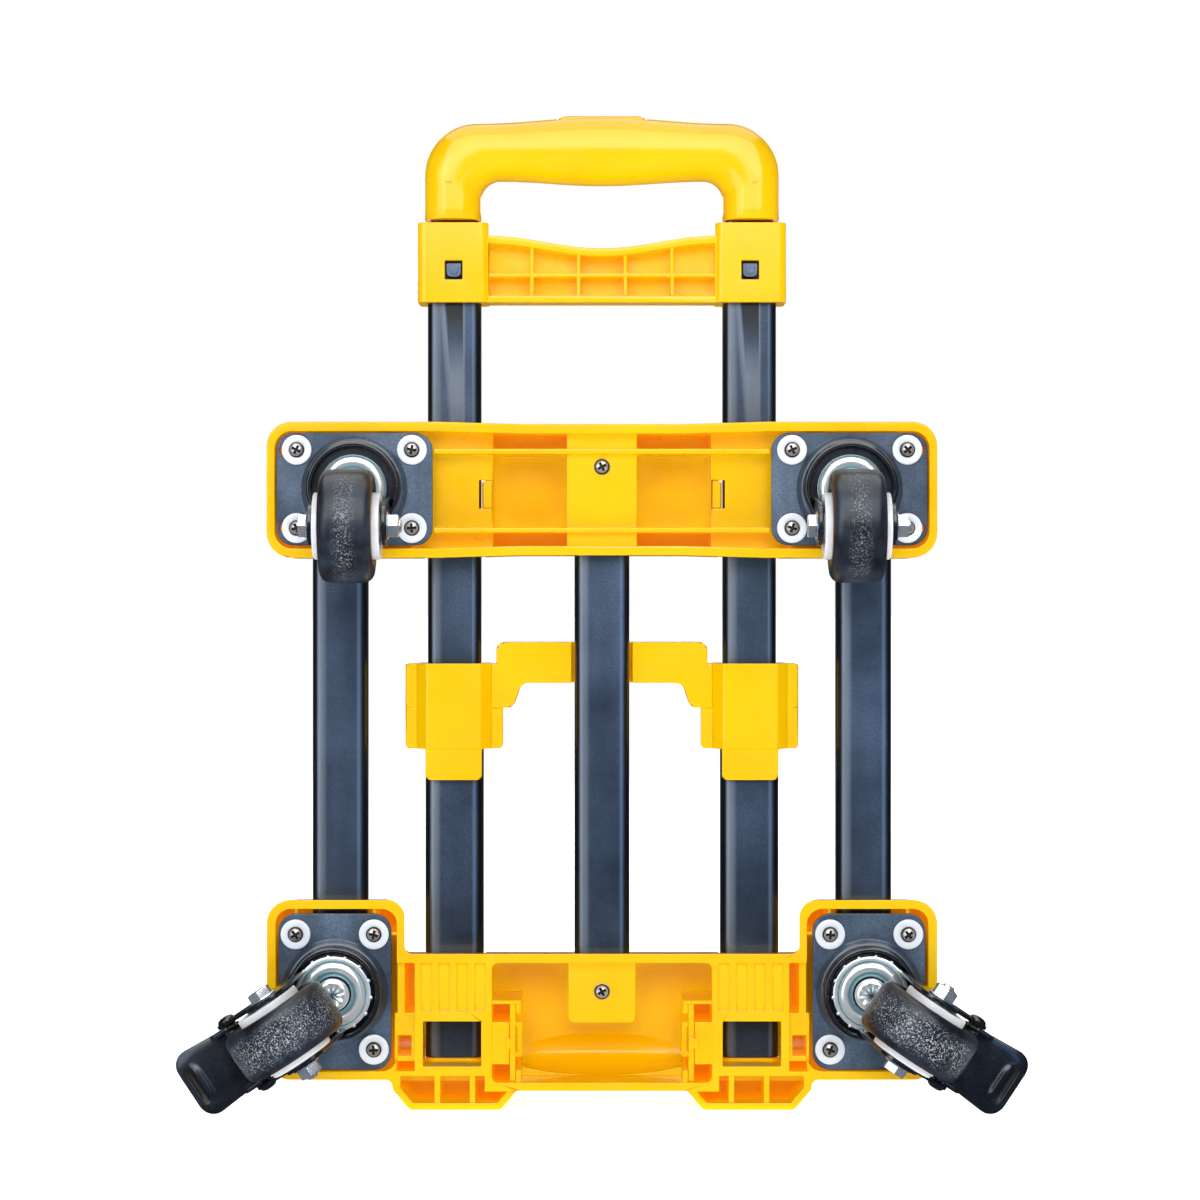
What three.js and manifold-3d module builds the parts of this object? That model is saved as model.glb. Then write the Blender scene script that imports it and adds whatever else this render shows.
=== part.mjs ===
// Folding platform cart, folded flat and standing upright on the two feet of its rear base.
// Millimetres. +Z is up along the telescoping handle, -Y is the wheel side, +Y the load side.
// Everything is drafted with Y = 0 on the rim of the yellow shells and X = 0 on the plane of
// symmetry; the group at the end moves the whole cart along Y so that it is centred there.
import * as THREE from "three";
import { mergeVertices } from "three/addons/utils/BufferGeometryUtils.js";
import Module from "manifold-3d";

const wasm = await Module();
wasm.setup();

const DEGREE = Math.PI / 180;
const GAP = 0.3; // between two pieces that lie against each other
const PAST = 1; // how far a cut runs past the face that it opens
const CURVE = 6; // straight pieces in each rounded corner of the large outlines

const SHELL = { half: 154.3, depth: 36, floor: 33 }; // floor: depth of the open pockets
const BASE = { top: 96.6, waist: 71.8, foot: 13.8, shoulder: 90.8, draft: 3.2 };
const BAR = { bottom: 254.1, top: 316.7, rim: 3.7, waist: 1.1 };

// Extents as [least, greatest] of what is moulded into the right half of the shells.
const CENTRE_POCKET = { x: [-50.6, 50.6], z: [12.5, 67.6] };
const POD_POCKET = { x: [94.4, 150.1], z: [17.8, 92.4] };
const SUNK_WALL = { x: [86.2, 94.5], depth: 5 };
const TUBE_WINDOW = { x: [55.6, 82.4], z: [20, 40.7] };
const PANEL = { x: [53.5, 83.4], z: [45.2, 67.6], cells: 4, rib: 3.1, depth: 3.5 };
const FOOT = { depth: 12, deepTop: 11.5, ribs: [[58.4, 60.9], [74.5, 77.1]] };
const RIB = 1.6;
const HOOK = { x: [37.3, 39.6], shelf: [48.6, 50.2] };
const LAND = { half: 15.6, bottom: 39, top: 69 };
const BOWL = { y: 22, z: 23, size: [47, 16.5, 10.5], wall: 3, half: 37.5, foot: 8.7 };
const BAR_LAND = { half: 16.2, tubeX: [50.6, 86.6], tubeDepth: 15 };
const BAR_RIB = { half: 77.4, depth: 3, low: [265.7, 268], high: [302, 304.4] };
const CLIP = { x: [51.3, 57.2], z: [277.1, 290.4], tab: [51.6, 55.2], tabZ: [277.5, 290] };
const PIN_SLOT = { y: [0, 30], z: [24.2, 33.6] }; // shows the outer end of each pivot pin

const PLATFORM_TUBE = { width: 25.5, depth: 15, radius: 4.2, wall: 1.1, y: 18.5 };
const SIDE_TUBE = { x: 121.7, bottom: 24.5, top: 306 };
const CENTRE_TUBE = { bottom: 43, top: 308.5, screws: [53.6, 296.2] };
const CENTRE_LAND = 8; // the face that the centre screws pull against
const CENTRE_SCREW = { hole: 2.6, head: 4.6, shank: 2.2 };

const HANDLE = { x: 69, y: 27.5, pivot: 27, pin: 2.5, pinHole: 2.8, pinX: [43.6, 95] };
const TROUGH = { inner: 54.8, outer: 83.2, front: 18.5, bottom: 14.6, sweep: 12.6 };
const OUTER_TUBE = { width: 27, depth: 17, radius: 4.6, wall: 0.9, bottom: 21.2, top: 203 };
const MIDDLE_TUBE = { width: 24.8, depth: 14.8, radius: 3.9, wall: 0.9, bottom: 84, top: 406.4 };
const INNER_TUBE = { width: 22.4, depth: 12.4, radius: 3.3, wall: 0.9, bottom: 90, top: 440 };

const SLEEVE = { outer: [27.6, 17.6, 4.6], middle: [25.4, 15.4, 3.9], inner: [23, 13, 3.3] };
const BRIDGE = { bottom: 165.3, top: 205.1, front: 14, back: 40.5, half: 17.4, flange: 22.75 };
const TONGUE = { half: 13.1, bottom: 150.8, front: 15.2 };
const CROSSPIECE = { x: 69.3, width: 33.1, bottom: 373.2, top: 410.3, front: 15, back: 40 };
const WEB = { half: 54, front: 17, back: 33.4, edge: 404.4, sag: 6, shelf: 386, ribs: [10.9, 32.7] };
const CATCH = { half: 3.4, bottom: 385, top: 391.4, front: 16.6, back: 19.5 };
const GRIP = { inner: 56.5, outer: 83, bottom: 412, under: 431, top: 457.8, front: 13, back: 42 };
const BUTTON = { half: 20.7, depth: 15.4, bottom: 451.6, top: 461.7, travel: 2.5 };
const SPRING = { width: 6.4, wire: 0.8, bottom: 441.3, room: 8 };
const RETAINER = { x: [40, 42.4], y: [3, 32], z: [12.9, 48.3] };

const CASTER_Y = 3.7; // back of every mounting plate
const FRONT_CASTER = { x: 114, z: 285.7, trail: 18, turn: 0 };
const REAR_CASTER = { x: 123, z: 54.2, trail: 23, turn: 56.5 * DEGREE };
const PLATE = { length: 72, width: 52, thickness: 2.5, radius: 8, holes: [26.5, 18] };
const WHEEL = { radius: 25.5, half: 12.5, axle: -41.7, hub: 14.9 };
const FORK = { inside: 15.5, outside: 17.3, boss: 8.7, housing: 21 };
const AXLE = { bore: 3.3, bolt: 3, end: 24.5, head: -21.9, nut: 23.1 };
const HEXAGON = 10 / Math.sqrt(3); // corner radius of a 10 mm hexagon
const PEDAL = { y: -19.5, z: -46, pin: 2, length: 78, half: 16.8, inside: 13, outside: 15.2 };

const YELLOW = { color: 0xf7c600, roughness: 0.42, metalness: 0 };
const BLACK_TUBE = { color: 0x2c3440, roughness: 0.38, metalness: 0.6 };
const BLACK_STEEL = { color: 0x22262d, roughness: 0.35, metalness: 0.55 };
const ZINC = { color: 0xb9c6d0, roughness: 0.25, metalness: 1 };
const STEEL = { color: 0xbfc2c4, roughness: 0.35, metalness: 1 };
const RUBBER = { color: 0x15171a, roughness: 0.6, metalness: 0 };
const HUB_GREY = { color: 0xd9d8d4, roughness: 0.5, metalness: 0 };

// ---- Solids ----------------------------------------------------------------------------------

// A closed three.js geometry as a solid. Triangles that merging has collapsed are dropped.
function solid(geometry) {
  geometry.deleteAttribute("normal");
  geometry.deleteAttribute("uv");
  const merged = mergeVertices(geometry, 1e-4);
  const all = merged.index.array;
  const kept = [];
  for (let i = 0; i < all.length; i += 3) {
    const [a, b, c] = all.slice(i, i + 3);
    if (a !== b && b !== c && c !== a) kept.push(a, b, c);
  }
  return manifold(merged.attributes.position.array, kept);
}

function manifold(vertProperties, triangles) {
  const triVerts = new Uint32Array(triangles);
  return new wasm.Manifold(new wasm.Mesh({ numProp: 3, vertProperties, triVerts }));
}

// The same solid on the other side of X = 0.
function mirrored(piece) {
  const { vertProperties, triVerts } = piece.getMesh();
  const flipped = vertProperties.map((value, i) => (i % 3 === 0 ? -value : value));
  const turned = triVerts.map((_, i) => triVerts[i - (i % 3) + 2 - (i % 3)]);
  return manifold(flipped, turned);
}

const union = (pieces) => pieces.reduce((whole, piece) => whole.add(piece));
const bothSides = (...pieces) => union(pieces.flatMap((piece) => [piece, mirrored(piece)]));

// An outline from its corners [across, up, radius], counterclockwise; radius 0 is a sharp corner.
function outline(corners) {
  const shape = new THREE.Shape();
  corners.forEach(([x, y, radius = 0], i) => {
    const corner = new THREE.Vector2(x, y);
    const next = corners[(i + 1) % corners.length];
    const before = new THREE.Vector2(...corners.at(i - 1)).sub(corner).normalize();
    const after = new THREE.Vector2(...next).sub(corner).normalize();
    if (radius === 0) {
      if (i === 0) shape.moveTo(x, y);
      else shape.lineTo(x, y);
      return;
    }
    const half = Math.acos(before.dot(after)) / 2;
    const reach = radius / Math.tan(half);
    const centre = before.clone().add(after).setLength(radius / Math.sin(half)).add(corner);
    const start = before.multiplyScalar(reach).add(corner).sub(centre);
    const end = after.multiplyScalar(reach).add(corner).sub(centre);
    const hollow = start.cross(end) < 0;
    shape.absarc(centre.x, centre.y, radius, start.angle(), end.angle(), hollow);
  });
  return shape;
}

const symmetric = (right) => [...right, ...right.map(([x, z, r]) => [-x, z, r]).reverse()];

function rectangle(x0, x1, y0, y1, radius) {
  return outline([[x0, y0, radius], [x1, y0, radius], [x1, y1, radius], [x0, y1, radius]]);
}

// A shape in the XZ plane given thickness along Y.
function slab(shape, front, back, curveSegments = 3) {
  const options = { depth: back - front, bevelEnabled: false, curveSegments };
  return solid(new THREE.ExtrudeGeometry(shape, options).rotateX(90 * DEGREE).translate(0, back, 0));
}

// A shape in the YZ plane given thickness along X.
function cheek(shape, left, right, curveSegments = 1) {
  const options = { depth: right - left, bevelEnabled: false, curveSegments };
  const turn = new THREE.Matrix4().set(0, 0, 1, left, 1, 0, 0, 0, 0, 1, 0, 0, 0, 0, 0, 1);
  return solid(new THREE.ExtrudeGeometry(shape, options).applyMatrix4(turn));
}

// A rounded rectangular bar along Z, centred on (x, y).
function upright(x, y, width, depth, radius, bottom, top) {
  const shape = rectangle(x - width / 2, x + width / 2, y - depth / 2, y + depth / 2, radius);
  const options = { depth: top - bottom, bevelEnabled: false, curveSegments: 2 };
  return solid(new THREE.ExtrudeGeometry(shape, options).translate(0, 0, bottom));
}

function box([x0, x1], [y0, y1], [z0, z1]) {
  const geometry = new THREE.BoxGeometry(x1 - x0, y1 - y0, z1 - z0);
  return solid(geometry.translate((x0 + x1) / 2, (y0 + y1) / 2, (z0 + z1) / 2));
}

function rodX(radius, [x0, x1], y, z, sides = 10) {
  const geometry = new THREE.CylinderGeometry(radius, radius, x1 - x0, sides);
  return solid(geometry.rotateZ(-90 * DEGREE).translate((x0 + x1) / 2, y, z));
}

function rodY(radius, x, [y0, y1], z, sides = 10) {
  const geometry = new THREE.CylinderGeometry(radius, radius, y1 - y0, sides);
  return solid(geometry.translate(x, (y0 + y1) / 2, z));
}

function ellipsoid([x, y, z], [rx, ry, rz]) {
  return solid(new THREE.SphereGeometry(1, 32, 20).scale(rx, ry, rz).translate(x, y, z));
}

// A profile of [radius, height] turned about Y.
function turned(profile, sides = 20) {
  const points = profile.map(([radius, height]) => new THREE.Vector2(radius, height));
  if (THREE.ShapeUtils.isClockWise(points)) points.reverse();
  return solid(new THREE.LatheGeometry([...points, points[0]], sides));
}

// A profile of [radius, x] turned about X.
function turnedX(profile, sides = 20) {
  const points = profile.map(([radius, height]) => new THREE.Vector2(radius, height));
  if (THREE.ShapeUtils.isClockWise(points)) points.reverse();
  return solid(new THREE.LatheGeometry([...points, points[0]], sides).rotateZ(-90 * DEGREE));
}

function mesh(name, piece, finish) {
  const { vertProperties, triVerts } = piece.getMesh();
  const geometry = new THREE.BufferGeometry();
  geometry.setAttribute("position", new THREE.BufferAttribute(vertProperties, 3));
  geometry.setIndex(new THREE.BufferAttribute(triVerts, 1));
  geometry.computeVertexNormals();
  const made = new THREE.Mesh(geometry, new THREE.MeshStandardMaterial(finish));
  made.name = name;
  return made;
}

const SIDES = [["left", -1], ["right", 1]];

// ---- Yellow shells ---------------------------------------------------------------------------

// The four bosses that a caster plate is screwed to; `along` is the plate's long direction.
function plateBosses({ x, z }, along) {
  const [far, near] = PLATE.holes;
  const [dx, dz] = along === "x" ? [far, near] : [near, far];
  const corners = [[-dx, -dz], [dx, -dz], [dx, dz], [-dx, dz]];
  return union(corners.map(([u, v]) => rodY(4, x + u, [CASTER_Y + GAP, SHELL.floor + PAST], z + v)));
}

// Room for a platform tube, between two heights.
function tubeRoom(x, bottom, top) {
  const { width, depth, radius, y } = PLATFORM_TUBE;
  return upright(x, y, width + 0.7, depth + 0.7, radius, bottom, top);
}

// The trough in the load side that a handle tube lies in.
function handleTrough(bottom, top) {
  return box([TROUGH.inner, TROUGH.outer], [TROUGH.front, SHELL.depth + PAST], [bottom, top]);
}

const centreScrewHole = (z) => rodY(CENTRE_SCREW.hole, 0, [CENTRE_LAND - PAST, 12], z, 12);

// The ribbed trapezoid under each side of the base, hollow from the wheel side.
function footPocket() {
  const corners = outline([
    [43.8, 8.4], [48.1, 3.2], [86.9, 3.2], [92.8, 10.2], [92.8, 15.6], [54, 15.6], [54, 8.4],
  ]);
  const underTube = box([40, 95], [0, SHELL.depth], [0, FOOT.deepTop]);
  const deep = slab(corners, FOOT.depth - PAST, SHELL.floor).intersect(underTube);
  const room = slab(corners, -PAST, FOOT.depth).add(deep);
  return FOOT.ribs.reduce((left, x) => left.subtract(box(x, [1, SHELL.depth], [2, 17])), room);
}

// The shallow ribbed panel over each handle tube.
function ribbedPanel() {
  const { x, z, cells, rib, depth } = PANEL;
  const cell = (x[1] - x[0] - (cells - 1) * rib) / cells;
  const starts = Array.from({ length: cells }, (_, i) => x[0] + i * (cell + rib));
  return union(starts.map((start) => box([start, start + cell], [-PAST, depth], z)));
}

function basePockets() {
  const deep = [-PAST, SHELL.floor];
  const central = slab(rectangle(...CENTRE_POCKET.x, ...CENTRE_POCKET.z, 3), ...deep, 4);
  const pod = slab(rectangle(...POD_POCKET.x, ...POD_POCKET.z, 7), ...deep, CURVE);
  const [bottom, top] = [POD_POCKET.z[0], CENTRE_POCKET.z[1]];
  const [inner, outer] = SUNK_WALL.x;
  const sunkWall = box(SUNK_WALL.x, [-PAST, SUNK_WALL.depth], [bottom, top]);
  const slot = box([inner, 91], deep, [44, top]);
  const corner = box([inner, outer], deep, [bottom, bottom + 3.8]);
  const window = box(TUBE_WINDOW.x, [-PAST, TROUGH.front + PAST], TUBE_WINDOW.z);
  return central.add(bothSides(pod, sunkWall, slot, corner, window, ribbedPanel(), footPocket()));
}

// Everything that stands up in the pockets: bosses, ribs, tube sockets and the retainers' hooks.
function baseInside() {
  const floor = SHELL.floor + PAST;
  const behindPlate = [CASTER_Y + GAP, floor];
  const bosses = plateBosses(REAR_CASTER, "z");
  const ribs = [
    box([104.2, 104.2 + RIB], behindPlate, [81, 93]),
    box([140.2, 140.2 + RIB], behindPlate, [81, 93]),
    box([94, 105], behindPlate, [79.9, 79.9 + RIB]),
  ];
  const socket = box([106, 137.4], [8, floor], [17.5, 32]);
  const pinBoss = box([94, 95.7], [5, floor], [21.6, 44]);
  const pinBlock = box([42.8, 51], [1, floor], [20.8, 40.3]);
  const shelf = box([HOOK.x[0], 51], [1, floor], HOOK.shelf);
  const topHook = box(HOOK.x, [2, 10], [44, 49]);
  const bottomHook = box(HOOK.x, [2, floor], [12, 17.9]);
  const { half, bottom, top } = LAND;
  const land = slab(rectangle(-half, half, bottom, top, 3), CENTRE_LAND, floor, 4);
  const side = [bosses, ...ribs, socket, pinBoss, pinBlock, shelf, topHook, bottomHook];
  return land.add(bothSides(...side));
}

// The thumb bowl pressed into the middle of the base, which stands out on the load side. A cove
// carries its curve on to the lower rim.
function bowl() {
  const { y, z, size, wall, half, foot } = BOWL;
  const [floor, rim] = [SHELL.floor + PAST, CENTRE_POCKET.z[0]];
  const thick = size.map((radius) => radius + wall);
  const [across, back, up] = thick;
  const outside = ellipsoid([0, y, z], thick);
  const inside = ellipsoid([0, y, z], size);
  return {
    dome: outside.intersect(box([-across, across], [floor, y + back], [foot, z + up])),
    room: inside.intersect(box([-across, across], [y, y + back], [rim, z + up])),
    cove: box([-half, half], [y, floor], [rim - PAST, z]).subtract(inside),
  };
}

// The outline of the base, whose upper edges come down by `draft` and in at the shoulders.
function baseOutline(draft) {
  const { top, waist, foot, shoulder } = BASE;
  const { half } = SHELL;
  return outline(symmetric([
    [39.2, BOWL.foot, 2], [46.6, 0, 3], [88.4, 0, 3], [96.2, 9.2, 2], [97, foot, 3],
    [half, foot, 11], [half, top - draft, 11], [shoulder + draft, top - draft, 8],
    [shoulder + draft, waist - draft, 4],
  ]));
}

// A solid between one outline at the front and another, with as many points, at the back.
function drafted(frontShape, backShape, front, back) {
  const rims = [frontShape, backShape].map((shape) => shape.getPoints(CURVE));
  const count = rims[0].length;
  const positions = rims.flatMap((rim, i) => rim.flatMap(({ x, y }) => [x, i ? back : front, y]));
  const triangles = [];
  for (let i = 0; i < count; i++) {
    const j = (i + 1) % count;
    triangles.push(i, count + j, j, i, count + i, count + j);
  }
  for (const [a, b, c] of THREE.ShapeUtils.triangulateShape(rims[0], [])) triangles.push(a, b, c);
  for (const [a, b, c] of THREE.ShapeUtils.triangulateShape(rims[1], [])) {
    triangles.push(count + a, count + c, count + b);
  }
  const geometry = new THREE.BufferGeometry();
  geometry.setAttribute("position", new THREE.Float32BufferAttribute(positions, 3));
  geometry.setIndex(triangles);
  return solid(geometry);
}

function rearBase() {
  const { top, waist, draft } = BASE;
  const { dome, room, cove } = bowl();
  const shell = drafted(baseOutline(0), baseOutline(draft), 0, SHELL.depth)
    .add(dome)
    .subtract(basePockets())
    .subtract(room)
    .add(cove);
  const { y, pivot, pinHole } = HANDLE;
  const cuts = bothSides(
    tubeRoom(SIDE_TUBE.x, SIDE_TUBE.bottom - GAP, top + PAST),
    handleTrough(TROUGH.bottom, waist + PAST),
    rodX(TROUGH.sweep, [TROUGH.inner, TROUGH.outer], y, pivot, 24),
    rodX(pinHole, [42, 96.5], y, pivot),
    box([88, POD_POCKET.x[0]], PIN_SLOT.y, PIN_SLOT.z),
  );
  return shell
    .add(baseInside())
    .subtract(cuts)
    .subtract(tubeRoom(0, CENTRE_TUBE.bottom - GAP, waist + PAST))
    .subtract(centreScrewHole(CENTRE_TUBE.screws[0]));
}

// A long side of the bar is drawn in a little at the middle.
function barOutline(half, bottom, top, radius) {
  const { waist } = BAR;
  return outline(symmetric([
    [38, bottom + waist], [76, bottom], [half, bottom, radius],
    [half, top, radius], [76, top], [38, top - waist],
  ]));
}

// The spring clip beside each handle trough: a window with a tab that stops beside the tube.
function tubeClip() {
  const [inner, outer] = CLIP.tab;
  const [bottom, top] = CLIP.tabZ;
  const window = box(CLIP.x, [-PAST, SHELL.depth + PAST], CLIP.z);
  const root = box([BAR_LAND.tubeX[0] + 0.2, outer], [BAR_LAND.tubeDepth + PAST, 20], CLIP.tabZ);
  const tab = box(CLIP.tab, [BAR_LAND.tubeDepth + PAST, SHELL.depth], CLIP.tabZ);
  const nub = box([inner, outer + 1.2], [33.6, SHELL.depth], [bottom, top]);
  return { window, tab: union([root, tab, nub]) };
}

function frontBar() {
  const floor = SHELL.floor + PAST;
  const { bottom, top, rim } = BAR;
  const [low, high] = [bottom + 4.3, top - 4.4];
  const across = [low - PAST, high + PAST];
  const shell = slab(barOutline(SHELL.half, bottom, top, 11.5), 0, SHELL.depth, CURVE)
    .subtract(slab(barOutline(SHELL.half - rim, low, high, 8), -PAST, SHELL.floor, CURVE));
  const lands = [
    box([-BAR_LAND.half, BAR_LAND.half], [CENTRE_LAND, floor], across),
    bothSides(box(BAR_LAND.tubeX, [BAR_LAND.tubeDepth, floor], across)),
  ];
  const { half, depth } = BAR_RIB;
  const ribs = [BAR_RIB.high, BAR_RIB.low].map((z) => box([-half, half], [depth, floor], z));
  const behindPlate = [CASTER_Y + GAP, floor];
  const underPlate = [low - PAST, FRONT_CASTER.z - 18];
  const gussets = [
    box([86.7, 86.7 + RIB], behindPlate, underPlate),
    box([139.7, 139.7 + RIB], behindPlate, underPlate),
  ];
  const stop = box([106, 137], [8, floor], [300, high + PAST]);
  const clip = tubeClip();
  const cuts = bothSides(
    handleTrough(bottom - PAST, top + PAST),
    tubeRoom(SIDE_TUBE.x, bottom - PAST, SIDE_TUBE.top + GAP),
    clip.window,
  );
  const inside = bothSides(plateBosses(FRONT_CASTER, "x"), ...gussets, stop);
  return union([shell, ...lands, ...ribs, inside])
    .subtract(cuts)
    .subtract(tubeRoom(0, bottom - PAST, CENTRE_TUBE.top + GAP))
    .subtract(centreScrewHole(CENTRE_TUBE.screws[1]))
    .add(bothSides(clip.tab));
}

// ---- Tubes -----------------------------------------------------------------------------------

function tube({ width, depth, radius, wall }, y, bottom, top) {
  const outside = upright(0, y, width, depth, radius, bottom, top);
  const inside = [width - 2 * wall, depth - 2 * wall, radius - wall];
  return outside.subtract(upright(0, y, ...inside, bottom - PAST, top + PAST));
}

function platformTubes() {
  const { top, bottom } = SIDE_TUBE;
  const sides = SIDES.map(([side, sign]) => {
    const piece = tube(PLATFORM_TUBE, PLATFORM_TUBE.y, bottom, top);
    const made = mesh(`platform_tube_${side}`, piece, BLACK_TUBE);
    made.position.x = sign * SIDE_TUBE.x;
    return made;
  });
  const { screws } = CENTRE_TUBE;
  const holes = union(screws.map((z) => rodY(CENTRE_SCREW.hole, 0, [10, 13], z, 12)));
  const centre = tube(PLATFORM_TUBE, PLATFORM_TUBE.y, CENTRE_TUBE.bottom, CENTRE_TUBE.top);
  return [...sides, mesh("platform_tube_center", centre.subtract(holes), BLACK_TUBE)];
}

function centreScrews() {
  const { head, shank } = CENTRE_SCREW;
  const seat = CENTRE_LAND - GAP;
  const names = ["center_screw_rear", "center_screw_front"];
  return CENTRE_TUBE.screws.map((z, i) => {
    const pan = turned([[0, seat], [head, seat], [4.2, 6.2], [2.6, 5.3], [0, 5.3]], 12);
    const screw = pan.add(rodY(shank, 0, [7, 16], 0, 8));
    const made = mesh(names[i], screw, STEEL);
    made.position.z = z;
    return made;
  });
}

// The square hole that a stage catch draws back into.
function catchHole() {
  const half = CATCH.half + GAP;
  return box([-half, half], [15, HANDLE.y], [CATCH.bottom - GAP, CATCH.top + GAP]);
}

function handleTubes(side, sign) {
  const { y, pivot, pinHole } = HANDLE;
  const outer = tube(OUTER_TUBE, y, OUTER_TUBE.bottom, OUTER_TUBE.top)
    .subtract(rodX(pinHole, [-20, 20], y, pivot));
  const middle = tube(MIDDLE_TUBE, y, MIDDLE_TUBE.bottom, MIDDLE_TUBE.top).subtract(catchHole());
  const inner = tube(INNER_TUBE, y, INNER_TUBE.bottom, INNER_TUBE.top);
  const made = [
    mesh(`outer_tube_${side}`, outer, BLACK_TUBE),
    mesh(`middle_tube_${side}`, middle, BLACK_TUBE),
    mesh(`inner_tube_${side}`, inner, BLACK_TUBE),
    mesh(`tube_plug_${side}`, tubePlug(), YELLOW),
  ];
  made.forEach((piece) => (piece.position.x = sign * HANDLE.x));
  return made;
}

function tubePlug() {
  const { width, depth, radius, bottom } = OUTER_TUBE;
  const flange = upright(0, HANDLE.y, width, depth, radius, bottom - 2.6, bottom - GAP);
  return flange.add(upright(0, HANDLE.y, width - 2.4, depth - 2.4, 3.4, bottom - 1, bottom + 2.4));
}

// ---- Handle mouldings ------------------------------------------------------------------------

// Room for a handle tube in a moulding.
const sleeve = (size, bottom, top) => upright(HANDLE.x, HANDLE.y, ...size, bottom, top);

function bridgeCollar() {
  const { front, back, bottom, top, half } = BRIDGE;
  const barrel = outline([
    [-12.5, front, 2], [12.5, front, 2], [half, 19.5, 2],
    [half, back, 3], [-half, back, 3], [-half, 19.5, 2],
  ]);
  const options = { depth: top - bottom, bevelEnabled: false, curveSegments: 2 };
  const body = solid(new THREE.ExtrudeGeometry(barrel, options).translate(HANDLE.x, 0, bottom));
  const [inner, outer] = [HANDLE.x - BRIDGE.flange, HANDLE.x + BRIDGE.flange];
  const flange = slab(rectangle(inner, outer, bottom, top, 2), 21.5, 27, 2);
  const upper = slab(rectangle(inner + 0.5, outer - 0.5, 184, top, 2), 20.9, 26, 2);
  const [left, right] = [HANDLE.x - TONGUE.half, HANDLE.x + TONGUE.half];
  const tongue = slab(rectangle(left, right, TONGUE.bottom, 170, 2.5), TONGUE.front, 20, 2);
  return union([body, flange, upper, tongue])
    .subtract(sleeve(SLEEVE.outer, 140, OUTER_TUBE.top + 0.4))
    .subtract(sleeve(SLEEVE.middle, bottom, top + PAST));
}

function handleBridge() {
  const arms = slab(outline(symmetric([
    [37.6, 195.9, 5], [41.4, 184.4, 3.5], [51.5, 184.4], [51.5, 204], [49.3, 204], [49.3, 215, 4],
  ])), 19.5, 36, 3);
  const behindCentre = box([-14.2, 14.2], [10, 27.3], [190, 220]);
  return arms.subtract(behindCentre).add(bothSides(bridgeCollar()));
}

function crosspieceCollar() {
  const { x, width, bottom, top, front, back } = CROSSPIECE;
  return upright(x, (front + back) / 2, width, back - front, 4, bottom, top);
}

// What is cut out of each collar: the two tubes' rooms and the window of the stage catch.
function collarRooms() {
  const { bottom, top, front } = CROSSPIECE;
  const half = CATCH.half + 0.75;
  const middle = (CATCH.bottom + CATCH.top) / 2;
  const across = [HANDLE.x - half, HANDLE.x + half];
  return [
    sleeve(SLEEVE.middle, bottom - PAST, MIDDLE_TUBE.top + GAP),
    sleeve(SLEEVE.inner, bottom, top + PAST),
    box(across, [front - PAST, 20.5], [middle - 4.5, middle + 4.5]),
  ];
}

// The upper edge of the web sags between the collars: a cosine from each collar to the middle.
function webOutline(half, bottom, edge) {
  const steps = 8;
  const shape = new THREE.Shape();
  shape.moveTo(-half, bottom);
  shape.lineTo(half, bottom);
  for (let i = 0; i <= 2 * steps; i++) {
    const x = half * (1 - i / steps);
    shape.lineTo(x, edge - (WEB.sag / 2) * (1 + Math.cos((Math.PI * x) / half)));
  }
  return shape;
}

function handleCrosspiece() {
  const { bottom } = CROSSPIECE;
  const { half, front, back, edge, shelf } = WEB;
  const wide = RIB / 2;
  const within = [front + PAST, 31];
  const tray = slab(webOutline(half, bottom, edge), front, back)
    .subtract(slab(webOutline(half - 1.2, bottom + 3.2, edge - 3.7), front - PAST, 30));
  const uprights = WEB.ribs.map((x) => box([x - wide, x + wide], within, [bottom + 1, edge]));
  const level = box([-half, half], within, [shelf - wide, shelf + wide]);
  const ribs = bothSides(...uprights).add(level)
    .intersect(slab(webOutline(half, bottom, edge - 1), front, back));
  const whole = union([tray, ribs, bothSides(crosspieceCollar())]);
  return whole.subtract(bothSides(...collarRooms()));
}

function gripOutline() {
  const { inner, outer, under, top } = GRIP;
  const legEnd = 400; // below the cut that squares the legs off
  return outline(symmetric([
    [24, under - 2.1], [inner, under, 9], [inner, legEnd], [outer, legEnd], [outer, top, 24.5],
    [25, top + 3.1],
  ]));
}

function grip() {
  const { bottom, front, back, outer } = GRIP;
  const round = 8;
  const options = {
    depth: back - front - 2 * round,
    curveSegments: 5,
    bevelThickness: round,
    bevelSize: round,
    bevelOffset: -round,
    bevelSegments: 3,
  };
  const geometry = new THREE.ExtrudeGeometry(gripOutline(), options);
  const body = solid(geometry.rotateX(90 * DEGREE).translate(0, back - round, 0));
  const { y } = HANDLE;
  const socket = sleeve(SLEEVE.inner, bottom - PAST, INNER_TUBE.top + GAP);
  const half = BUTTON.half + GAP;
  const deep = BUTTON.depth / 2 + GAP;
  const floor = BUTTON.bottom - BUTTON.travel - GAP;
  const above = 470;
  const { room } = SPRING;
  const well = slab(rectangle(-half, half, floor, above, 0.5), y - deep, y + deep);
  const springRoom = upright(0, y, room, room, 3.9, SPRING.bottom - GAP, floor + PAST);
  return body
    .intersect(box([-outer - PAST, outer + PAST], [0, 50], [bottom, above]))
    .subtract(bothSides(socket))
    .subtract(well)
    .subtract(springRoom);
}

function gripButton() {
  const { half, depth, bottom, top } = BUTTON;
  const block = upright(0, HANDLE.y, 2 * half, depth, 3, bottom, top - 0.8);
  return block.add(upright(0, HANDLE.y, 2 * half - 1.6, depth - 1.6, 2.2, top - 2, top));
}

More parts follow.
